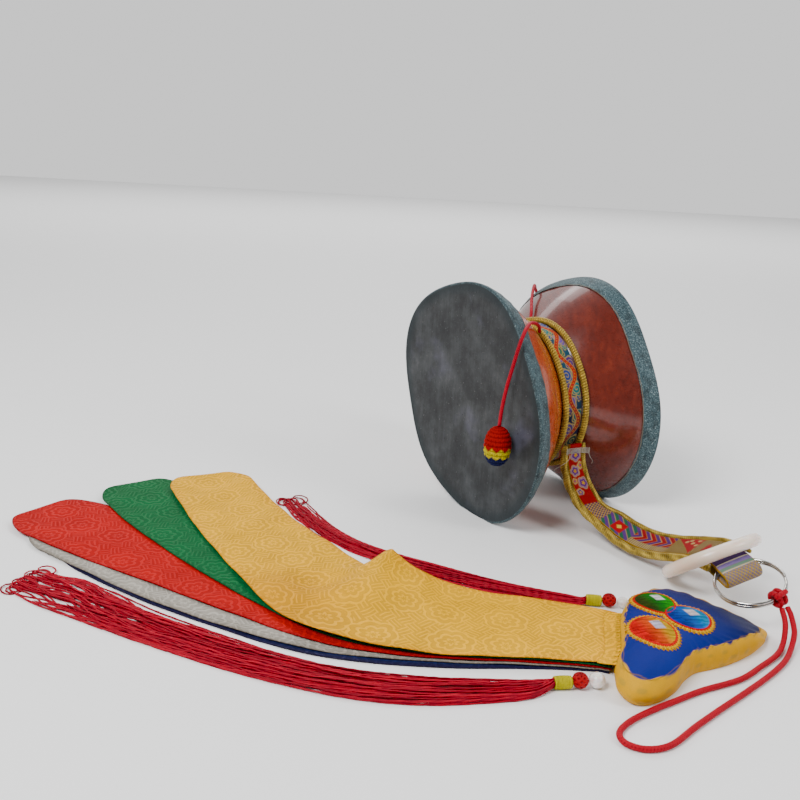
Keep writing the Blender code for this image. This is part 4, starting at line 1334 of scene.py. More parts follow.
    def patchwork(self, canvas: Canvas, half: Array) -> Canvas:
        """Paint the strap's patches from the drum to the fold.

        Args:
            canvas: the strap's canvas, across and along in millimetres.
            half: half the strap's width at each point along it.

        Returns:
            The same canvas.
        """
        x, y = canvas.x, canvas.y
        across = x / half
        purple = ("c8b088", "7b4a9a", "5a2f7c", "e3b23c")
        yellow = ("c8b088", "e0ad35", "b9771d", "7b4a9a")
        for cx, cy, radius, codes in (
                (0.5, 11.0, 7.4, purple), (5.5, 22.0, 4.4, yellow), (-2.5, 27.0, 6.4, purple),
                (3.5, 40.0, 7.0, purple), (-6.0, 37.0, 3.4, yellow), (-5.0, 49.0, 4.6, purple)):
            canvas.flower(cx, cy, radius, codes, 5, cy)
            inside = canvas.petals(cx, cy, radius * 0.72, 5, cy)
            canvas.paint(canvas.span(inside, -0.3, 0.3, 0.3), "c8b088", 1.0)
        canvas.paint(canvas.span(y, 52, 63), "9c1626", 0.2)
        chevron = (y + 1.1 * np.abs(x - 2.0)) % 11.0
        wave = (x + y * 0.8) % 9.0
        square = np.minimum(soft(6.4 - np.abs(x + 2.0)), soft(6.0 - np.abs(y - 101.0)))
        span = canvas.span
        # Each patch: where it starts and ends, its ground, then the figures on it with colour and height.
        for start, end, ground, raised, figures in (
                (63, 84, "4b2b63", 0.2, (
                    (span((x * 0.55 + y) % 2.6, 0.0, 1.1), "c8a24c", 0.8),
                    (span((x * 1.4 - y) % 6.5, 0.0, 0.9), "d9c79a", 0.9))),
                (84, 118, "3f6a55", 0.2, (
                    (span(wave, 0.0, 4.2), "63407f", 0.6),
                    (span(wave, 4.2, 5.0), "c4ac7c", 0.9))),
                (118, 160, "9c0c2c", 0.3, (
                    (span(chevron, 0.0, 4.6), "563272", 0.6),
                    (span(chevron, 4.6, 5.4), "ddc48a", 0.9),
                    (span(chevron, 10.3, 11.0), "c99a3a", 0.9),
                    (soft(-across - 0.42, 0.06), "c8b48c", 0.4),
                    (soft(-across - 0.42, 0.06) * span(y % 2.2, 0.0, 0.9), "5e4230", 0.7))),
                (160, 188, "6a5236", 0.2, (
                    (span((x - y) % 2.4, 0.0, 1.0), "c4ae7c", 0.8),
                    (soft(x + (y - 174.0) * 0.9), "a40c2c", 0.4))),
                (188, 212, "5a4330", 0.2, (
                    (span((x * 0.35 + y) % 2.3, 0.0, 1.0), "c6b080", 0.8),))):
            patch = span(y, start, end)
            canvas.paint(patch, ground, raised)
            for mask, code, height in figures:
                canvas.paint(patch * mask, code, height)
        canvas.paint(square, "b00c30", 0.5)
        canvas.paint(soft(3.0 - np.abs(x + 2.0) - np.abs(y - 101.0)), "e6cf7e", 0.9)
        wedge = span(y, 160, 188) * soft(x + (y - 174.0) * 0.9)
        for cx, cy in ((4.5, 180.0), (9.0, 176.0), (9.5, 184.0), (1.5, 185.5), (6.5, 172.5)):
            inside = canvas.petals(cx, cy, 1.9, 5, cx)
            canvas.paint(soft(inside) * wedge, "d4bf92", 1.0)
            canvas.paint(soft(inside - 1.1) * wedge, "d49a35", 1.0)
        canvas.paint(span(y, 188, 212) * soft(5.5 - np.abs(x) - (y - 199.0)) * soft(y - 197.0), "a40c2c", 0.5)
        end = y - 212.0
        bands = ((0, 8, "39453f"), (8, 9.4, "dcbf72"), (9.4, 17, "45265e"), (17, 18.2, "eadfc4"),
                 (18.2, 22.5, "9a88bf"), (22.5, 26.0, "7f9a87"), (26.0, 27.3, "eadfc4"), (27.3, 60, "8d8398"))
        for low, high, code in bands:
            canvas.paint(span(end, low, high), code, 0.8 if high - low < 2 else 0.3)
        for lean, code in ((x + end, "c7a24e"), (x - end, "d8bd72")):
            canvas.paint(span(end, 28, 60) * span(lean % 3.0, 0.0, 0.8), code, 0.9)
        fold = soft(y - 268.0)
        canvas.paint(fold, "3d3430", 0.2)
        canvas.paint(fold * span((x + 40.0) % 6.0, 0.0, 2.2), "6d1f26", 0.5)
        canvas.paint(fold * span((x + 40.0) % 6.0, 3.4, 4.0), "4c6a50", 0.7)
        canvas.paint(fold * soft(np.abs(across) - 0.66, 0.05), "9a8434", 0.7)
        canvas.paint(soft(np.abs(across) - 0.93, 0.03) * soft(268.0 - y), "b08d3e", 0.6)
        return canvas

    def roll(self, name: str, side: float, radius: float, crease: float, seed: float) -> None:
        """Bind one edge of the strap with a rolled ribbon.

        Args:
            name: which edge it is.
            side: -1 for the left edge, 1 for the right one.
            radius: radius of the roll.
            crease: depth of its long creases.
            seed: start of the creases.
        """
        count = self.steps - 24
        reach = self.width[:count] / 2.0 + GAP + radius
        path = self.centre[:count] + self.across[:count] * (side * reach)[:, None]
        thick = np.full(count, radius)
        thick[:8] *= np.linspace(0.55, 1.0, 8)
        thick[-10:] *= np.linspace(1.0, 0.7, 10)
        if side < 0:
            thick *= 1.0 - 0.16 * np.exp(-((np.arange(count) - count * 0.86) / 11.0) ** 2)
        piece = ribbed_tube("edge_ribbon_" + name, path, thick, ("402604", "ffdc90"), 2.2, slant=3.0,
                            depth=0.16, crease=crease, seed=seed)
        self.keep(piece, Slot.GOLD, "strap_roll_" + name)

    def lashing(self) -> None:
        """Tie the strap to the belt with white thread that has loose ends."""
        start, heading, across, face = self.centre[6], self.heading[6], self.across[6], self.face[6]
        half = self.width[6] / 2.0 + 2 * self.rolls[0]
        share = np.linspace(-1.0, 1.0, 33)[:, None]
        height = self.thickness * 0.5 + 0.0007 + 0.0030 * np.abs(share) ** 4
        laps = [start + heading * 0.0012 * (lap + share) + across * half * 0.93 * share + face * height
                for lap in range(5)]
        share = np.linspace(0.0, 1.0, 30)[:, None]
        for turn in (-1.0, 1.0):
            spread = turn * (0.006 * share - 0.004 * np.sin(5 * share))
            laps.append(start + across * (half * 0.9 * turn + spread) + heading * 0.020 * share
                        + face * (0.0045 + 0.0035 * np.sin(4.0 * share)))
        strands = [strand(lap, 0.00032, 6, ("b9b2a4", "f6f2ea"), twist_mm=2.0) for lap in laps]
        self.keep(joined("join_thread", strands), Slot.YARN)

    def bone_ring(self) -> None:
        """Carve the bone ring, slightly uneven and flattened."""
        normal = Vector(self.bone_normal).normalized()
        turn = np.array(Vector((0, 0, 1)).rotation_difference(normal).to_matrix())
        angle = np.linspace(0.0, TURN, 181)[:, None]
        around = np.linspace(0.0, TURN, 41)[None, :]
        tube = self.bone[0] * (0.975 + 0.018 * np.sin(2 * angle + 0.6) + 0.008 * np.sin(5 * angle))
        outward = self.bone[1] + tube * np.cos(around)
        height = tube * np.sin(around) * 0.94
        local = np.stack([outward * np.cos(angle), outward * np.sin(angle), height], axis=-1)
        rows = local @ turn.T + place(*self.bone_place)
        rows[-1] = rows[0]
        rows[:, -1] = rows[:, 0]
        self.keep(surface("bone_hoop", rows), Slot.BONE, "bone_ring")

    def steel_ring(self) -> None:
        """Coil the steel wire twice and hitch the red cord round it."""
        inner, wire = self.coil
        heading, across, face = self.heading[-1], self.across[-1], self.face[-1]
        centre = self.pivot + heading * (0.0040 + 0.3 * inner)
        angle = np.linspace(0.55, 0.55 + 2 * TURN * 0.985, 321)[:, None]
        rise = np.tanh(np.linspace(-1.0, 1.0, 321)[:, None] * 7.0) * 0.00125
        radius = inner + 0.0013
        path = centre + (across * np.cos(angle) + heading * np.sin(angle)) * radius + face * rise
        reach = np.full((321, 15), wire)
        reach[[0, -1]] *= 0.7
        piece = surface("steel_coil", tube_rows(path, reach, path_frames(path)))
        self.keep(piece, Slot.STEEL, "steel_ring")
        outward = across * math.cos(self.knot) + heading * math.sin(self.knot)
        tangent = heading * math.cos(self.knot) - across * math.sin(self.knot)
        middle = centre + outward * radius
        hold = 0.0028 + self.cord_radius + 0.0002
        turns = np.linspace(0.0, TURN, 90)[:, None]
        laps = []
        for shift in (-1.08, 1.08):
            loop = middle + tangent * (shift * self.cord_radius * 1.02)
            loop = loop + (outward * np.cos(turns) + face * np.sin(turns)) * hold
            laps.append(braided_tube("hitch_lap", loop, self.cord_radius, CRIMSON_CORD, 6.2, closed=True,
                                     axis=tangent))
        bend = np.linspace(-1.0, 1.0, 40)[:, None]
        arc = middle + tangent * bend * self.cord_radius * 2.3
        arc = arc + (outward * 0.55 + face * 0.83) * (hold + self.cord_radius * (1.7 - 1.4 * bend ** 4))
        laps.append(braided_tube("hitch_bridge", arc, self.cord_radius, CRIMSON_CORD, 6.2))
        for lap in laps:
            self.keep(lap, Slot.CORD, "cord_hitch")

    def cord(self) -> None:
        """Lay the red cord's loop in front of the pendant."""
        path = place(*smooth_rows(self.cord_route, 760).T)
        piece = braided_tube("cord_braid", path, self.cord_radius, CRIMSON_CORD, 6.2, depth=0.13)
        self.keep(piece, Slot.CORD, "cord_loop")
        self.tie(piece, path, self.cord_radius, "loose")

    def build(self) -> None:
        """Build the strap, rings and cord."""
        self.cord()
        self.steel_ring()
        self.bone_ring()
        self.panel()
        self.roll("left", -1.0, self.rolls[0], 0.30, 0.4)
        self.roll("right", 1.0, self.rolls[1], 0.14, 1.9)
        self.lashing()


@dataclass
class Pendant(Assembly):
    """Stuffed three-lobed pendant with embroidered jewels.

    Attributes:
        height: height of its middle.
        tip_drop: how much lower the tip is.
        tip_reach: distance from the tip over which it drops.
        outline: its outline on the layout grid, from the tip round.
        jewels: name, middle, half sizes, colours and turn of each jewel. The colours
            are left, middle, right, glint and outline.
        around: points round it.
    """

    height: float = 0.0240
    tip_drop: float = 0.0105
    tip_reach: float = 0.0520
    outline: tuple = (
        (287, 618), (277, 597), (262, 583), (246, 572), (230, 564), (217, 558), (206, 547), (196, 533),
        (182, 520), (168, 514), (158, 519), (155, 532), (158, 548), (164, 563), (168, 581), (171, 597),
        (176, 615), (186, 634), (199, 648), (215, 655), (230, 653), (242, 642), (256, 635), (273, 629))
    jewels: tuple = (
        ("green", (201.0, 618.0), (16.5, 22.5), ("3c4a12", "12802c", "2cb04c", "ffffff", "cf1020"), 0.25),
        ("orange", (189.0, 574.0), (17.5, 24.0), ("e83008", "f47010", "ffc828", "e9e2f6", "e01020"), 0.20),
        ("blue", (219.5, 595.0), (18.5, 20.5), ("0c3fa0", "0f6fc4", "20a8d8", "fdeef2", "cf1020"), 0.30))
    around: int = 360

    def __post_init__(self) -> None:
        """Work out the outline's distance from the middle."""
        outline = np.array(self.outline, dtype=float)
        self.middle = outline.mean(axis=0)
        self.tip = outline[0]
        closed = np.vstack([outline[-3:], outline, outline[:4]])
        dense = smooth_rows(np.column_stack([closed, np.zeros(len(closed))]), 900)[:, :2] - self.middle
        angle = np.arctan2(dense[:, 1], dense[:, 0])
        order = np.argsort(angle)
        self.angles = angle[order]
        self.reaches = np.hypot(dense[:, 0], dense[:, 1])[order]

    def reach(self, angle: Array) -> Array:
        """Give the outline's distance from the middle at an angle, in millimetres."""
        return np.interp(angle, self.angles, self.reaches, period=TURN)

    def top(self, x: Array, y: Array) -> Array:
        """Give the height of the satin at a layout place, in millimetres.

        Args:
            x: places on the layout grid.
            y: places on the layout grid.

        Returns:
            Heights in millimetres.
        """
        dx, dy = x - self.middle[0], y - self.middle[1]
        share = np.clip(np.hypot(dx, dy) / self.reach(np.arctan2(dy, dx)), 0.0, 1.0)
        away = np.minimum(np.hypot(x - self.tip[0], y - self.tip[1]) * MM / self.tip_reach, 1.0)
        height = self.height - self.tip_drop * (1.0 - away * away * (3.0 - 2.0 * away))
        return height / MM - 6.5 * share ** 3.2

    def body(self) -> None:
        """Stuff the body: flat below, a bulging gusset, and a puckered satin top."""
        angle = np.linspace(-math.pi, math.pi, self.around + 1)
        edge = self.reach(angle)
        bearing = np.stack([np.cos(angle), np.sin(angle)], axis=-1)
        rows, heights = [], []

        def put(share: Array, z: Array) -> None:
            """Add one ring at a share of the outline and a height."""
            spot = self.middle + bearing * (edge * share)[:, None]
            rows.append(place(spot[:, 0], spot[:, 1], z))
            heights.append(z + 0.0 * edge)

        for share in (0.0, 0.5, 0.86):
            put(share, 0.3)
        rim = self.middle + bearing * edge[:, None]
        seam = self.top(rim[:, 0], rim[:, 1])
        pucker = np.sin(34 * angle + 2.0 * np.sin(3 * angle))
        for step in np.linspace(0.0, 1.0, 26):
            bulge = 0.90 + 0.115 * math.sin(math.pi * (0.12 + 0.76 * step)) ** 0.8
            put(bulge + 0.006 * pucker * math.sin(math.pi * step), 0.3 + (seam - 0.3) * step)
        for share in np.linspace(0.985, 0.0, 92):
            spot = self.middle + bearing * (edge * share * 0.955)[:, None]
            crimp = 0.45 * pucker * share ** 9 + 0.35 * np.sin(13 * angle) * share ** 5
            put(share * 0.955, self.top(spot[:, 0], spot[:, 1]) + crimp)
        rows, heights = np.array(rows), np.array(heights)
        x = rows[..., 0] / MM + LAYOUT_CENTRE[0]
        y = rows[..., 1] / MM + LAYOUT_CENTRE[1]
        canvas = Canvas(x, y, "1c2a80")
        level = np.arange(len(rows))[:, None]
        frayed = 1.6 * np.sin(21 * angle)[None, :]
        gusset = soft(30.5 + frayed + 1.2 * np.sin(8 * angle + 1)[None, :] - level, 1.0)
        # Painted shade: the satin top is painted darker towards its right side.
        canvas.paint(soft((x - 236.0) + (y - 596.0) * 0.4, 60.0) * 0.8, "0b1030")
        canvas.paint(gusset, "f4c010", 0.3)
        smudge = np.sin(x * 0.31) * np.sin(y * 0.27 + 1.3) * np.sin(heights * 0.6)
        canvas.paint(gusset * soft(smudge - 0.45, 0.3) * 0.4, "a89a6a", 0.3)
        canvas.paint(canvas.span(level + frayed, 30.6, 31.6, 0.6), "8d6d1a")
        canvas.colour[:, -1] = canvas.colour[:, 0]
        rows[:, -1] = rows[:, 0]
        cloth = np.stack([x, y], axis=-1) * MM
        piece = surface("pendant_pillow", rows, canvas.colour, canvas.relief, cloth)
        self.keep(piece, Slot.SATIN, "pendant")

    def jewel(self, name: str, centre: Sequence, size: Sequence, codes: Sequence[str], turn: float) -> None:
        """Embroider one raised jewel with satin stitches and two outlines.

        Args:
            name: which jewel it is.
            centre: its middle on the layout grid.
            size: its half sizes in millimetres.
            codes: hex colours of left, middle, right, glint and outline.
            turn: its angle.
        """
        spikes = 37
        angle = np.linspace(0.0, TURN, 241)[None, :]
        share = np.concatenate([[1.0], np.linspace(1.0, 0.0, 64)])[:, None]
        fray = 1.0 + 0.045 * np.sin(spikes * angle) * share ** 8
        reach = share * (1.0 + 0.03 * np.sin(3 * angle + turn)) * fray
        px, py = size[0] * reach * np.cos(angle), size[1] * reach * np.sin(angle)
        x = centre[0] + px * math.cos(turn) - py * math.sin(turn)
        y = centre[1] + px * math.sin(turn) + py * math.cos(turn)
        dome = 1.7 * (1.0 - share ** 2.6) + 0.25
        dome[0] = -0.6
        lane = py * 0.60 + 0.10 * px
        run = px / 7.0 + hashed(np.floor(lane) + 3.0)
        inside = share < 0.8
        stitch = np.abs(np.sin(math.pi * lane)) ** 0.5 * inside + np.abs(np.sin(spikes * angle)) * ~inside
        ridge = np.exp(-((share - 0.83) / 0.05) ** 2) + 0.7 * np.exp(-((share - 0.94) / 0.04) ** 2)
        rows = place(x, y, self.top(x, y) + dome + 0.22 * stitch + 0.6 * ridge)
        rows[:, -1] = rows[:, 0]
        left, middle, right, glint, outline = codes
        canvas = Canvas(px, py, middle)
        canvas.paint(soft(-px - size[0] * 0.22, size[0] * 0.5), left, 0.4)
        canvas.paint(soft(px - size[0] * 0.28, size[0] * 0.4), right, 0.4)
        spark = np.maximum(np.abs(px - size[0] * 0.30) / (size[0] * 0.22),
                           np.abs(py - size[1] * 0.24) / (size[1] * 0.24))
        canvas.paint(soft(1.0 - spark, 0.25), glint, 0.8)
        canvas.paint(soft(share - 0.79, 0.03), outline, 0.8)
        canvas.paint(soft(share - 0.885, 0.03), "ffc43c", 1.0)
        canvas.paint(soft(np.sin(spikes * angle) - 0.5, 0.6) * soft(share - 0.93, 0.05), "b07c1c", 0.4)
        patch = hashed(np.floor(lane) * 5.0 + np.floor(run) * 11.0 + 7.0)
        shade = (0.50 + 0.70 * patch) * inside + 1.25 * ~inside
        # Painted shade: the grooves between the stitches are painted darker.
        tint = np.clip(canvas.colour * ((0.50 + 0.50 * stitch) * shade)[..., None], 0.0, 1.0)
        piece = surface("jewel_" + name, rows, tint, stitch, uv=np.stack([px, py], axis=-1) * MM)
        self.keep(piece, Slot.SATIN, tone=Tone.STITCHED)

    def seam(self) -> None:
        """Turn the yellow silk up against the gusset and sew it down."""
        y = np.linspace(553.0, 626.0, 90)
        bearing = np.arctan2(y - self.middle[1], 168.0 - self.middle[0])
        edge_x = self.middle[0] + self.reach(bearing) * np.cos(bearing)
        edge_y = self.middle[1] + self.reach(bearing) * np.sin(bearing)
        share = np.concatenate([np.linspace(0.0, 1.0, 14), np.linspace(1.0, 0.0, 14), [0.0]])[None, :]
        below = np.concatenate([np.zeros(14), np.full(14, 0.5), [0.0]])[None, :]
        x = edge_x[:, None] - 11.0 * (1.0 - share)
        spot_y = y[:, None] + (edge_y - y)[:, None] * share
        tuck = np.sin(1.9 * y)[:, None] * np.sin(math.pi * share)
        z = 9.3 + 4.2 * share ** 1.6 + 0.35 * tuck - below
        canvas = Canvas(x, spot_y, SILK_GOLD)
        canvas.paint(soft(tuck - 0.4, 0.8) * 0.3, "d99c10")
        cloth = np.stack([x, spot_y], axis=-1) * MM
        facing = surface("pendant_facing", place(x, spot_y, z), canvas.colour * SILK_LIGHT, canvas.relief,
                         cloth)
        self.keep(facing, Slot.YELLOW)
        random = np.random.default_rng(5)
        parts = []
        for index in range(3, 88, 5):
            run = np.linspace(-3.5, 1.0, 10) + random.uniform(-0.4, 0.4)
            lean = edge_y[index] + random.uniform(-0.25, 0.25) * run
            path = place(edge_x[index] + run, lean, 13.9 + 0.28 * run)
            parts.append(strand(path, 0.00034, 6, ("e8b020", "ffe860"), twist_mm=2.2))
        self.keep(joined("pendant_stitches", parts), Slot.YARN)

    def build(self) -> None:
        """Build the pendant and its jewels."""
        self.body()
        self.seam()
        for jewel in self.jewels:
            self.jewel(*jewel)


@dataclass(frozen=True)
class Silk:
    """One streamer.

    Attributes:
        ground: hex colour of the cloth.
        edge: hex colour of the hem.
        slot: its material slot.
        cells: faces across and rows along.
        route: x, y, width and height of the near and the far edge, in layout millimetres.
        light: brightness of the dyed colour.
    """

    ground: str
    edge: str
    slot: Slot
    cells: tuple
    route: tuple
    light: float = 1.0


def flat(height: float, *rows: Sequence) -> tuple:
    """Give a flat band's rows, with one height for both of its edges."""
    return tuple((*row, height, height) for row in rows)


SILKS = {
    "blue": Silk("27305c", "2b1f2c", Slot.BLUE, (60, 260), flat(
        0.9, (168, 589, 76), (150, 594, 78), (100, 595, 82), (30, 593, 88), (-40, 600, 90), (-108, 626, 86),
        (-175, 660, 84), (-233, 697, 80), (-260, 715, 68), (-282, 730, 36))),
    "white": Silk("c9c4bb", "8b8278", Slot.WHITE, (60, 260), flat(
        2.5, (168, 589, 76), (150, 594, 78), (100, 597, 82), (30, 598, 88), (-38, 605, 92), (-105, 629, 90),
        (-172, 662, 86), (-232, 700, 84), (-276, 729, 82), (-305, 749, 38))),
    "red": Silk("c8002e", "a0062c", Slot.RED, (96, 400), flat(
        4.1, (168, 589, 76), (150, 594, 78), (100, 598, 82), (30, 600, 88), (-30, 611, 92), (-95, 642, 90),
        (-171, 683, 88), (-240, 721, 88), (-300, 757, 86), (-330, 777, 42))),
    "green": Silk("14734a", "0c5a3a", Slot.GREEN, (96, 400), flat(
        5.7, (168, 589, 76), (150, 594, 78), (100, 599, 82), (35, 602, 88), (-22, 617, 92), (-78, 655, 88),
        (-145, 713, 84), (-204, 774, 84), (-244, 822, 82), (-264, 848, 40))),
    "yellow": Silk(SILK_GOLD, "e8a80c", Slot.YELLOW, (100, 430), (
        (168, 589, 76, 8.2, 8.2), (150, 594, 79, 8.2, 8.2), (105, 600, 88, 8.2, 8.2), (50, 604, 98, 7.4, 9.5),
        (12, 610, 104, 7.4, 17.0), (-16, 618, 106, 7.4, 29.0), (-34, 628, 106, 7.4, 27.0),
        (-54, 645, 102, 7.4, 11.0), (-72, 668, 98, 7.4, 7.4), (-97, 702, 92, 7.4, 7.4),
        (-128, 748, 87, 7.4, 7.4), (-158, 798, 84, 7.4, 7.4), (-184, 846, 82, 7.4, 7.4),
        (-199, 873, 42, 7.4, 7.4)), SILK_LIGHT),
}


@dataclass
class Streamers(Assembly):
    """Five damask silk bands that lie over each other.

    Attributes:
        thickness: thickness of the cloth.
    """

    thickness: float = 0.0007

    def rows(self, silk: Silk) -> tuple:
        """Work out a band's points.

        Args:
            silk: the band.

        Returns:
            Layout x, y and z, places across and along, and half widths, in millimetres.
        """
        table = silk.route
        tip_share = np.linspace(0, 1, 24)[1:]
        body = smooth_rows(table[:-1], silk.cells[1] - 22)
        tip = np.linspace(table[-2], table[-1], 24)[1:]
        tip[:, 2] = table[-1][2] + (table[-2][2] - table[-1][2]) * np.sqrt(1.0 - tip_share ** 1.6)
        spots = np.vstack([body, tip])
        heading = np.gradient(spots[:, :2], axis=0)
        heading = unit(np.column_stack([np.convolve(np.pad(column, 4, "edge"), np.ones(9) / 9, "valid")
                                        for column in heading.T]))
        share = np.linspace(-1.0, 1.0, silk.cells[0] + 1)[None, :]
        half = spots[:, 2:3] / 2.0
        x = spots[:, :1] + heading[:, 1:] * half * share
        y = spots[:, 1:2] - heading[:, :1] * half * share
        near, far = spots[:, 3:4], spots[:, 4:5]
        z = near + (far - near) * ((share + 1.0) / 2.0) ** 1.25
        return x, y, z, share * half, distances(spots[:, :2])[:, None] + 0.0 * share, half

    def band(self, name: str, silk: Silk, below: list) -> bpy.types.Object:
        """Lay one band with soft waves, its pattern and its hem.

        Args:
            name: the band's colour.
            silk: the band.
            below: names of the pieces that it lies on.

        Returns:
            The band.
        """
        x, y, z, across, along, half = self.rows(silk)
        folded = silk.slot is Slot.YELLOW
        phase = 2.3 * min(row[3] for row in silk.route)
        wave = 0.28 * np.sin(along / 19.0 + across / 31.0 + phase) * np.sin(across / 15.0 - along / 47.0)
        wave += 0.16 * np.sin(along / 7.3 - across / 12.0 + 2.0 * phase)
        if folded:
            lift = np.clip((along - 90.0) / 60.0, 0.0, 1.0)
            wave = wave * (1.0 + 1.4 * lift) + 0.75 * lift
            wave += 1.3 * np.exp(-((along - 225.0) / 42.0) ** 2) * np.sin(across / 9.0 + along / 14.0)
            wave += 0.9 * lift * np.clip(1.0 + np.sin(across / 11.0 - along / 33.0), 0.0, 2.0)
        canvas = Canvas(across, along, silk.ground)
        inset = np.abs(across) - half
        border = canvas.span(inset, -6.6, -5.6, 0.6) + canvas.span(inset, -3.4, -2.6)
        canvas.paint(border * 0.4, silk.edge, 0.2)
        canvas.paint(soft(inset + 1.6, 0.8) * 0.7, silk.edge, 0.3)
        if folded:
            # Painted shade: the yellow band is painted darker at its end by the pendant.
            canvas.paint(soft(10.0 - along, 8.0) * 0.3, "d99c10", 0.3)
            # Painted shade: one side of the fold is painted darker.
            canvas.paint(np.exp(-((along - 232.0) / 46.0) ** 2) * soft(-across, 60.0) * 0.55, "c98e12")
        piece = surface("silk_" + name, place(x, y, z + wave), canvas.colour * silk.light, canvas.relief,
                        np.stack([across, along], axis=-1) * MM, capped=False)
        solid = piece.modifiers.new("cloth_thickness", "SOLIDIFY")
        solid.thickness = self.thickness
        solid.offset = 0.0
        self.keep(piece, silk.slot, "streamer_" + name)
        area = float(np.trapz(2.0 * half[:, 0], along[:, 0])) * MM * MM
        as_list(below)
        return piece

    def build(self) -> None:
        """Build the five bands from the lowest up."""
        below = ["floor"]
        for name, silk in SILKS.items():
            piece = self.band(name, silk, below)
            below = ["floor", piece.name]


@dataclass(frozen=True)
class TasselPlan:
    """Where a tassel lies and how full it is.

    Attributes:
        prefix: beginning of its pieces' names.
        pearl: place of its pearl on the layout grid.
        pearl_radius: radius of its pearl.
        direction: direction in which it starts.
        threads: how many threads it has.
        loops: how many of them end in a loop.
        height: height of its skirt in millimetres.
        seed: start of its random draws.
        skirt: x, y and width of its skirt, in layout millimetres.
    """

    prefix: str
    pearl: tuple
    pearl_radius: float
    direction: float
    threads: int
    loops: int
    height: float
    seed: int
    skirt: tuple


TASSELS = (
    TasselPlan("near_tassel", (143.0, 536.0), 0.0056, math.radians(188.0), 72, 18, 6.2, 3, (
        (110.5, 531.2, 12), (90, 526, 22), (55, 522, 27), (15, 520, 30), (-25, 524, 31), (-65, 535, 31),
        (-105, 550, 32), (-145, 568, 33), (-185, 588, 35), (-222, 609, 38), (-252, 626, 40),
        (-284, 641, 30))),
    TasselPlan("far_tassel", (186.0, 650.5), 0.0046, math.radians(176.0), 46, 10, 5.4, 8, (
        (153.5, 653.0, 12), (128, 659, 18), (92, 671, 20), (48, 690, 20), (4, 712, 20), (-32, 736, 20),
        (-60, 764, 20), (-82, 797, 20), (-100, 832, 16))),
)


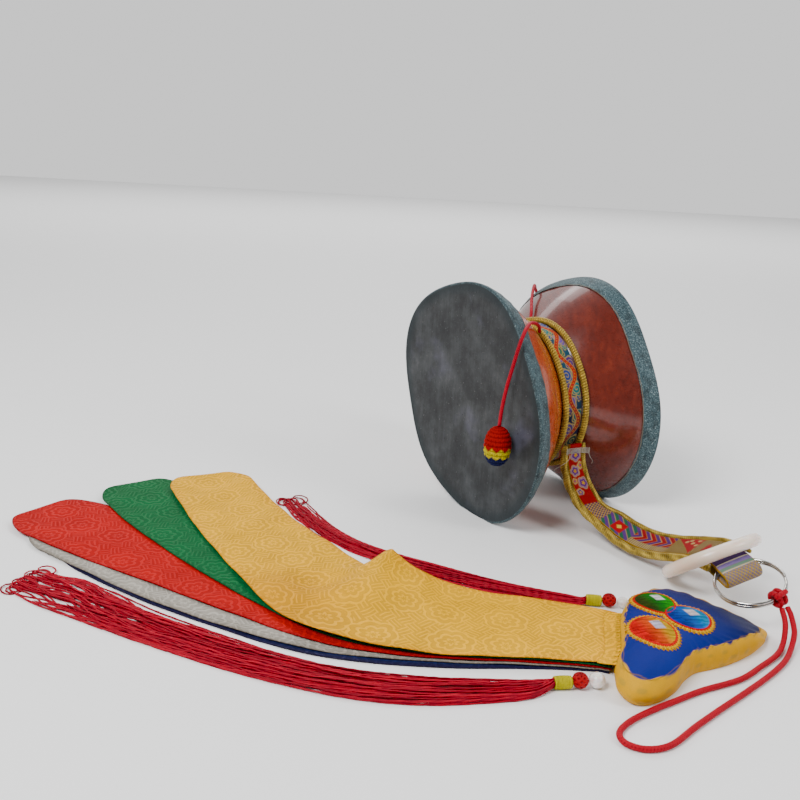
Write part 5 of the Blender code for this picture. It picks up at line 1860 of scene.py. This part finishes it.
@dataclass
class Tassel(Assembly):
    """Pearl, knot, thread wrap and a skirt of twisted threads.

    Attributes:
        plan: where it lies and how full it is.
        knot_radius: radius of the knot.
        wrap_radius: radius of the thread wrap.
        wrap_length: length of the thread wrap.
        thread_radius: radius of a thread.
    """

    plan: TasselPlan
    knot_radius: float = 0.0058
    wrap_radius: float = 0.0046
    wrap_length: float = 0.0120
    thread_radius: float = 0.00078

    def __post_init__(self) -> None:
        """Line the ornaments up and start the random draws."""
        plan, lift = self.plan, 0.0003
        self.random = np.random.default_rng(plan.seed)
        self.heading = np.array([math.cos(plan.direction), math.sin(plan.direction), 0.0])
        self.pearl_centre = place(*plan.pearl, plan.pearl_radius / MM + 0.3)
        knot = self.pearl_centre + self.heading * (plan.pearl_radius + GAP + self.knot_radius)
        self.knot_centre = np.array([knot[0], knot[1], self.knot_radius + lift])
        wrap = self.knot_centre + self.heading * (self.knot_radius + GAP)
        self.wrap_start = np.array([wrap[0], wrap[1], self.wrap_radius + lift])

    @staticmethod
    def globe(name: str, centre: Array, radius: float, woven: bool) -> bpy.types.Object:
        """Make a pearl, or a knot whose strands cross.

        Args:
            name: name of the object.
            centre: its middle.
            radius: its radius.
            woven: whether it is a knot.

        Returns:
            The globe.
        """
        high = np.linspace(0.0, 1.0, 61)[:, None]
        angle = np.linspace(0.0, TURN, 81)[None, :]
        lift = np.zeros((61, 81))
        if woven:
            first = np.abs(np.sin(3.0 * angle + 4.2 * math.pi * high))
            second = np.abs(np.sin(3.0 * angle - 4.2 * math.pi * high))
            lift = np.maximum(first, second) ** 1.2 * np.sin(math.pi * high) ** 0.5
        reach = radius * (1.0 - (0.16 * (1.0 - lift) if woven else 0.0))
        side = reach * np.sin(math.pi * high)
        up = -reach * (1.0 if woven else 0.97) * np.cos(math.pi * high) + 0.0 * angle
        rows = np.stack([side * np.cos(angle), side * np.sin(angle), up], axis=-1) + centre
        rows[:, -1] = rows[:, 0]
        rows[0], rows[-1] = rows[0, 0], rows[-1, 0]
        share = lift[..., None]
        # Painted shade: the knot's grooves between its strands are painted dark red.
        return surface(name, rows, dye("6a0420") * (1.0 - share) + dye("c80836") * share, lift)

    def ornaments(self) -> None:
        """String the pearl, the knot and the yellow thread wrap."""
        prefix = self.plan.prefix
        bead = self.globe(prefix + "_bead", self.pearl_centre, self.plan.pearl_radius, False)
        self.keep(bead, Slot.PEARL, prefix + "_pearl")
        button = self.globe(prefix + "_button", self.knot_centre, self.knot_radius, True)
        self.keep(button, Slot.TASSEL, prefix + "_knot")
        steps = np.linspace(0.0, 1.0, 130)
        path = self.wrap_start + self.heading * (self.wrap_length * steps)[:, None]
        thick = self.wrap_radius * (0.90 + 0.10 * np.sin(math.pi * steps) ** 0.5)
        wrap = ribbed_tube(prefix + "_winding", path, thick, ("9a8c14", "fcf050"), 0.95)
        self.keep(wrap, Slot.YARN, prefix + "_wrap")

    def skirt(self) -> None:
        """Lay the twisted threads, with stragglers and loops at the end."""
        plan, steps = self.plan, 60
        head = self.wrap_start + self.heading * (self.wrap_length - 0.0006)
        line = smooth_rows(plan.skirt, steps)
        line_xy, widths = line[:, :2], line[:, 2]
        heading = unit(np.gradient(line_xy, axis=0))
        across = np.stack([heading[:, 1], -heading[:, 0]], axis=-1)
        share = np.linspace(0.0, 1.0, steps)
        strands = []
        for index in range(plan.threads):
            end = steps if index < plan.threads * 0.4 else int(self.random.uniform(50, 60))
            lane = self.random.uniform(-1.0, 1.0)
            drift = self.random.uniform(-0.5, 0.5)
            phase = self.random.uniform(0.0, TURN, 3)
            wander = (0.16 * np.sin(7.0 * share + phase[0]) + 0.13 * share * np.sin(19.0 * share + phase[1])
                      + 0.10 * share * np.sin(47.0 * share + phase[2])) * np.minimum(share * 4.0, 1.0)
            offset = np.clip(lane * (1.0 + drift * share) + wander, -1.12, 1.12) * (1.0 + 0.25 * share ** 3)
            top = plan.height * np.sqrt(np.clip(1.0 - (offset / 1.2) ** 2, 0.05, 1.0))
            rise = 0.75 + (top - 0.9) * self.random.uniform(0.0, 1.0) * (1.0 - 0.45 * share ** 2)
            rise = np.maximum(rise + 0.5 * np.sin(13.0 * share + phase[1]), 0.75)
            spot = line_xy + across * (offset * widths * 0.46)[:, None]
            path = place(spot[:, 0], spot[:, 1], rise)[:end]
            angle = self.random.uniform(0.0, TURN)
            inner = self.random.uniform(0.2, 0.8) * self.wrap_radius
            side = np.array([-self.heading[1], self.heading[0], 0.0])
            start = head + side * inner * math.cos(angle) + np.array([0.0, 0.0, inner * math.sin(angle)])
            blend = np.clip(share[:end] / 0.035, 0.0, 1.0)[:, None]
            path = start * (1.0 - blend) + path * blend
            if index < plan.loops:
                path = self.curl(path, index)
            shade = self.random.uniform(0.70, 1.25)
            strands.append(strand(smooth_rows(path, 3 * len(path) // 2), self.thread_radius, 5,
                                  ("8a0430", "d80848"), shade))
        self.keep(joined(plan.prefix + "_threads", strands), Slot.TASSEL, plan.prefix + "_skirt")

    def curl(self, path: Array, index: int) -> Array:
        """Bend a thread's end into a loose loop.

        Args:
            path: the thread's points.
            index: its number, which decides to which side it bends.

        Returns:
            The thread's points with the loop.
        """
        turn = np.linspace(0.0, TURN * self.random.uniform(0.55, 1.15), 18)[1:, None]
        size = self.random.uniform(0.0035, 0.0075)
        forward = path[-1] - path[-3]
        forward[2] = 0.0
        forward = unit(forward)
        sideways = np.array([-forward[1], forward[0], 0.0]) * (-1.0 if index % 2 else 1.0)
        loop = path[-1] + forward * size * np.sin(turn) * 1.2 + sideways * size * (1.0 - np.cos(turn))
        loop = loop + np.array([0.0, 0.0, 0.0006]) * np.sin(turn)
        return np.vstack([path[6:] if index % 3 else path, loop])

    def build(self) -> None:
        """Build the tassel."""
        self.ornaments()
        self.skirt()


@dataclass
class Studio:
    """Camera, lights and the pale floor.

    Attributes:
        height: height of the camera over the layout grid's zero.
        pitch: how far it looks down.
        roll: how far it leans.
        lens: focal length in millimetres.
        sensor: width of its sensor in millimetres.
        lamps: name, place, target, power and size of each light.
    """

    height: float = 0.344
    pitch: float = math.radians(15.6)
    roll: float = math.radians(3.1)
    lens: float = 40.5
    sensor: float = 36.0
    lamps: tuple = (
        ("key", (-0.9, -1.0, 1.6), (0.0, 0.0, 0.05), 46.0, (0.9, 0.7)),
        ("window", (1.5, -0.7, 1.1), (0.2, 0.15, 0.12), 16.0, (0.5, 0.9)),
        ("fill", (0.2, 1.4, 1.6), (0.0, 0.0, 0.05), 9.0, (1.6, 0.8)),
        ("backdrop", (0.0, 3.4, 2.6), (0.0, 4.3, 0.0), 140.0, (6.0, 2.5)))

    def camera(self) -> None:
        """Set the camera that was fitted to the photo."""
        sine, cosine = math.sin(self.pitch), math.cos(self.pitch)
        right, up, back = Vector((1, 0, 0)), Vector((0, sine, cosine)), Vector((0, -cosine, sine))
        turned_right = right * math.cos(self.roll) + up * math.sin(self.roll)
        turned_up = up * math.cos(self.roll) - right * math.sin(self.roll)
        data = bpy.data.cameras.new("studio_camera")
        data.lens = self.lens
        data.sensor_width = self.sensor
        data.clip_start = 0.05
        data.clip_end = 50.0
        camera = bpy.data.objects.new("studio_camera", data)
        bpy.context.scene.collection.objects.link(camera)
        pose = Matrix((turned_right, turned_up, back)).transposed().to_4x4()
        pose.translation = Vector(place(0.0, 0.0, self.height / MM))
        camera.matrix_world = pose
        bpy.context.scene.camera = camera

    def light(self, name: str, spot: Sequence, target: Sequence, power: float, size: Sequence) -> None:
        """Hang one soft rectangular light.

        Args:
            name: name of the light.
            spot: where it hangs.
            target: what it is turned to.
            power: its power in watts.
            size: its width and height.
        """
        data = bpy.data.lights.new(name, "AREA")
        data.shape = "RECTANGLE"
        data.size, data.size_y = size
        data.energy = power
        lamp = bpy.data.objects.new(name, data)
        bpy.context.scene.collection.objects.link(lamp)
        lamp.location = spot
        lamp.rotation_euler = (Vector(target) - Vector(spot)).to_track_quat("-Z", "Y").to_euler()

    def sky(self) -> None:
        """Light the world in white, brighter towards the back."""
        world = bpy.data.worlds.new("studio")
        world.use_nodes = True
        tree = world.node_tree
        background = tree.nodes["Background"].inputs
        background["Color"].default_value = (1.0, 1.0, 1.0, 1.0)
        spot = tree.nodes.new("ShaderNodeTexCoord")
        split = tree.nodes.new("ShaderNodeSeparateXYZ")
        fade = tree.nodes.new("ShaderNodeMapRange")
        for key, value in (("From Min", -0.35), ("From Max", 0.75), ("To Min", 0.20), ("To Max", 0.98)):
            fade.inputs[key].default_value = value
        tree.links.new(spot.outputs["Generated"], split.inputs["Vector"])
        tree.links.new(split.outputs["Y"], fade.inputs["Value"])
        tree.links.new(fade.outputs["Result"], background["Strength"])
        bpy.context.scene.world = world

    def floor(self) -> None:
        """Lay a matt pale floor, which is painted board."""
        look = Look("matt_painted_board")
        mesh = bmesh.new()
        bmesh.ops.create_grid(mesh, x_segments=2, y_segments=2, size=6.0)
        data = bpy.data.meshes.new("floor")
        mesh.to_mesh(data)
        mesh.free()
        floor = bpy.data.objects.new("floor", data)
        bpy.context.scene.collection.objects.link(floor)
        data.materials.append(look.done(Base_Color=rgba("f4f4f4"), Roughness=0.75, Specular_IOR_Level=0.2))

    def build(self) -> None:
        """Build the sky, the floor and the lights."""
        self.sky()
        self.floor()
        for lamp in self.lamps:
            self.light(*lamp)


def main() -> None:
    """Build the drum over its frame."""
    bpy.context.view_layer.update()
    studio = Studio()
    studio.camera()
    materials = Materials()
    for part in (Drum(materials), Strap(materials), Pendant(materials), Streamers(materials)):
        part.build()
    for plan in TASSELS:
        Tassel(materials, plan).build()
    studio.build()


if __name__ == "__main__":
    main()
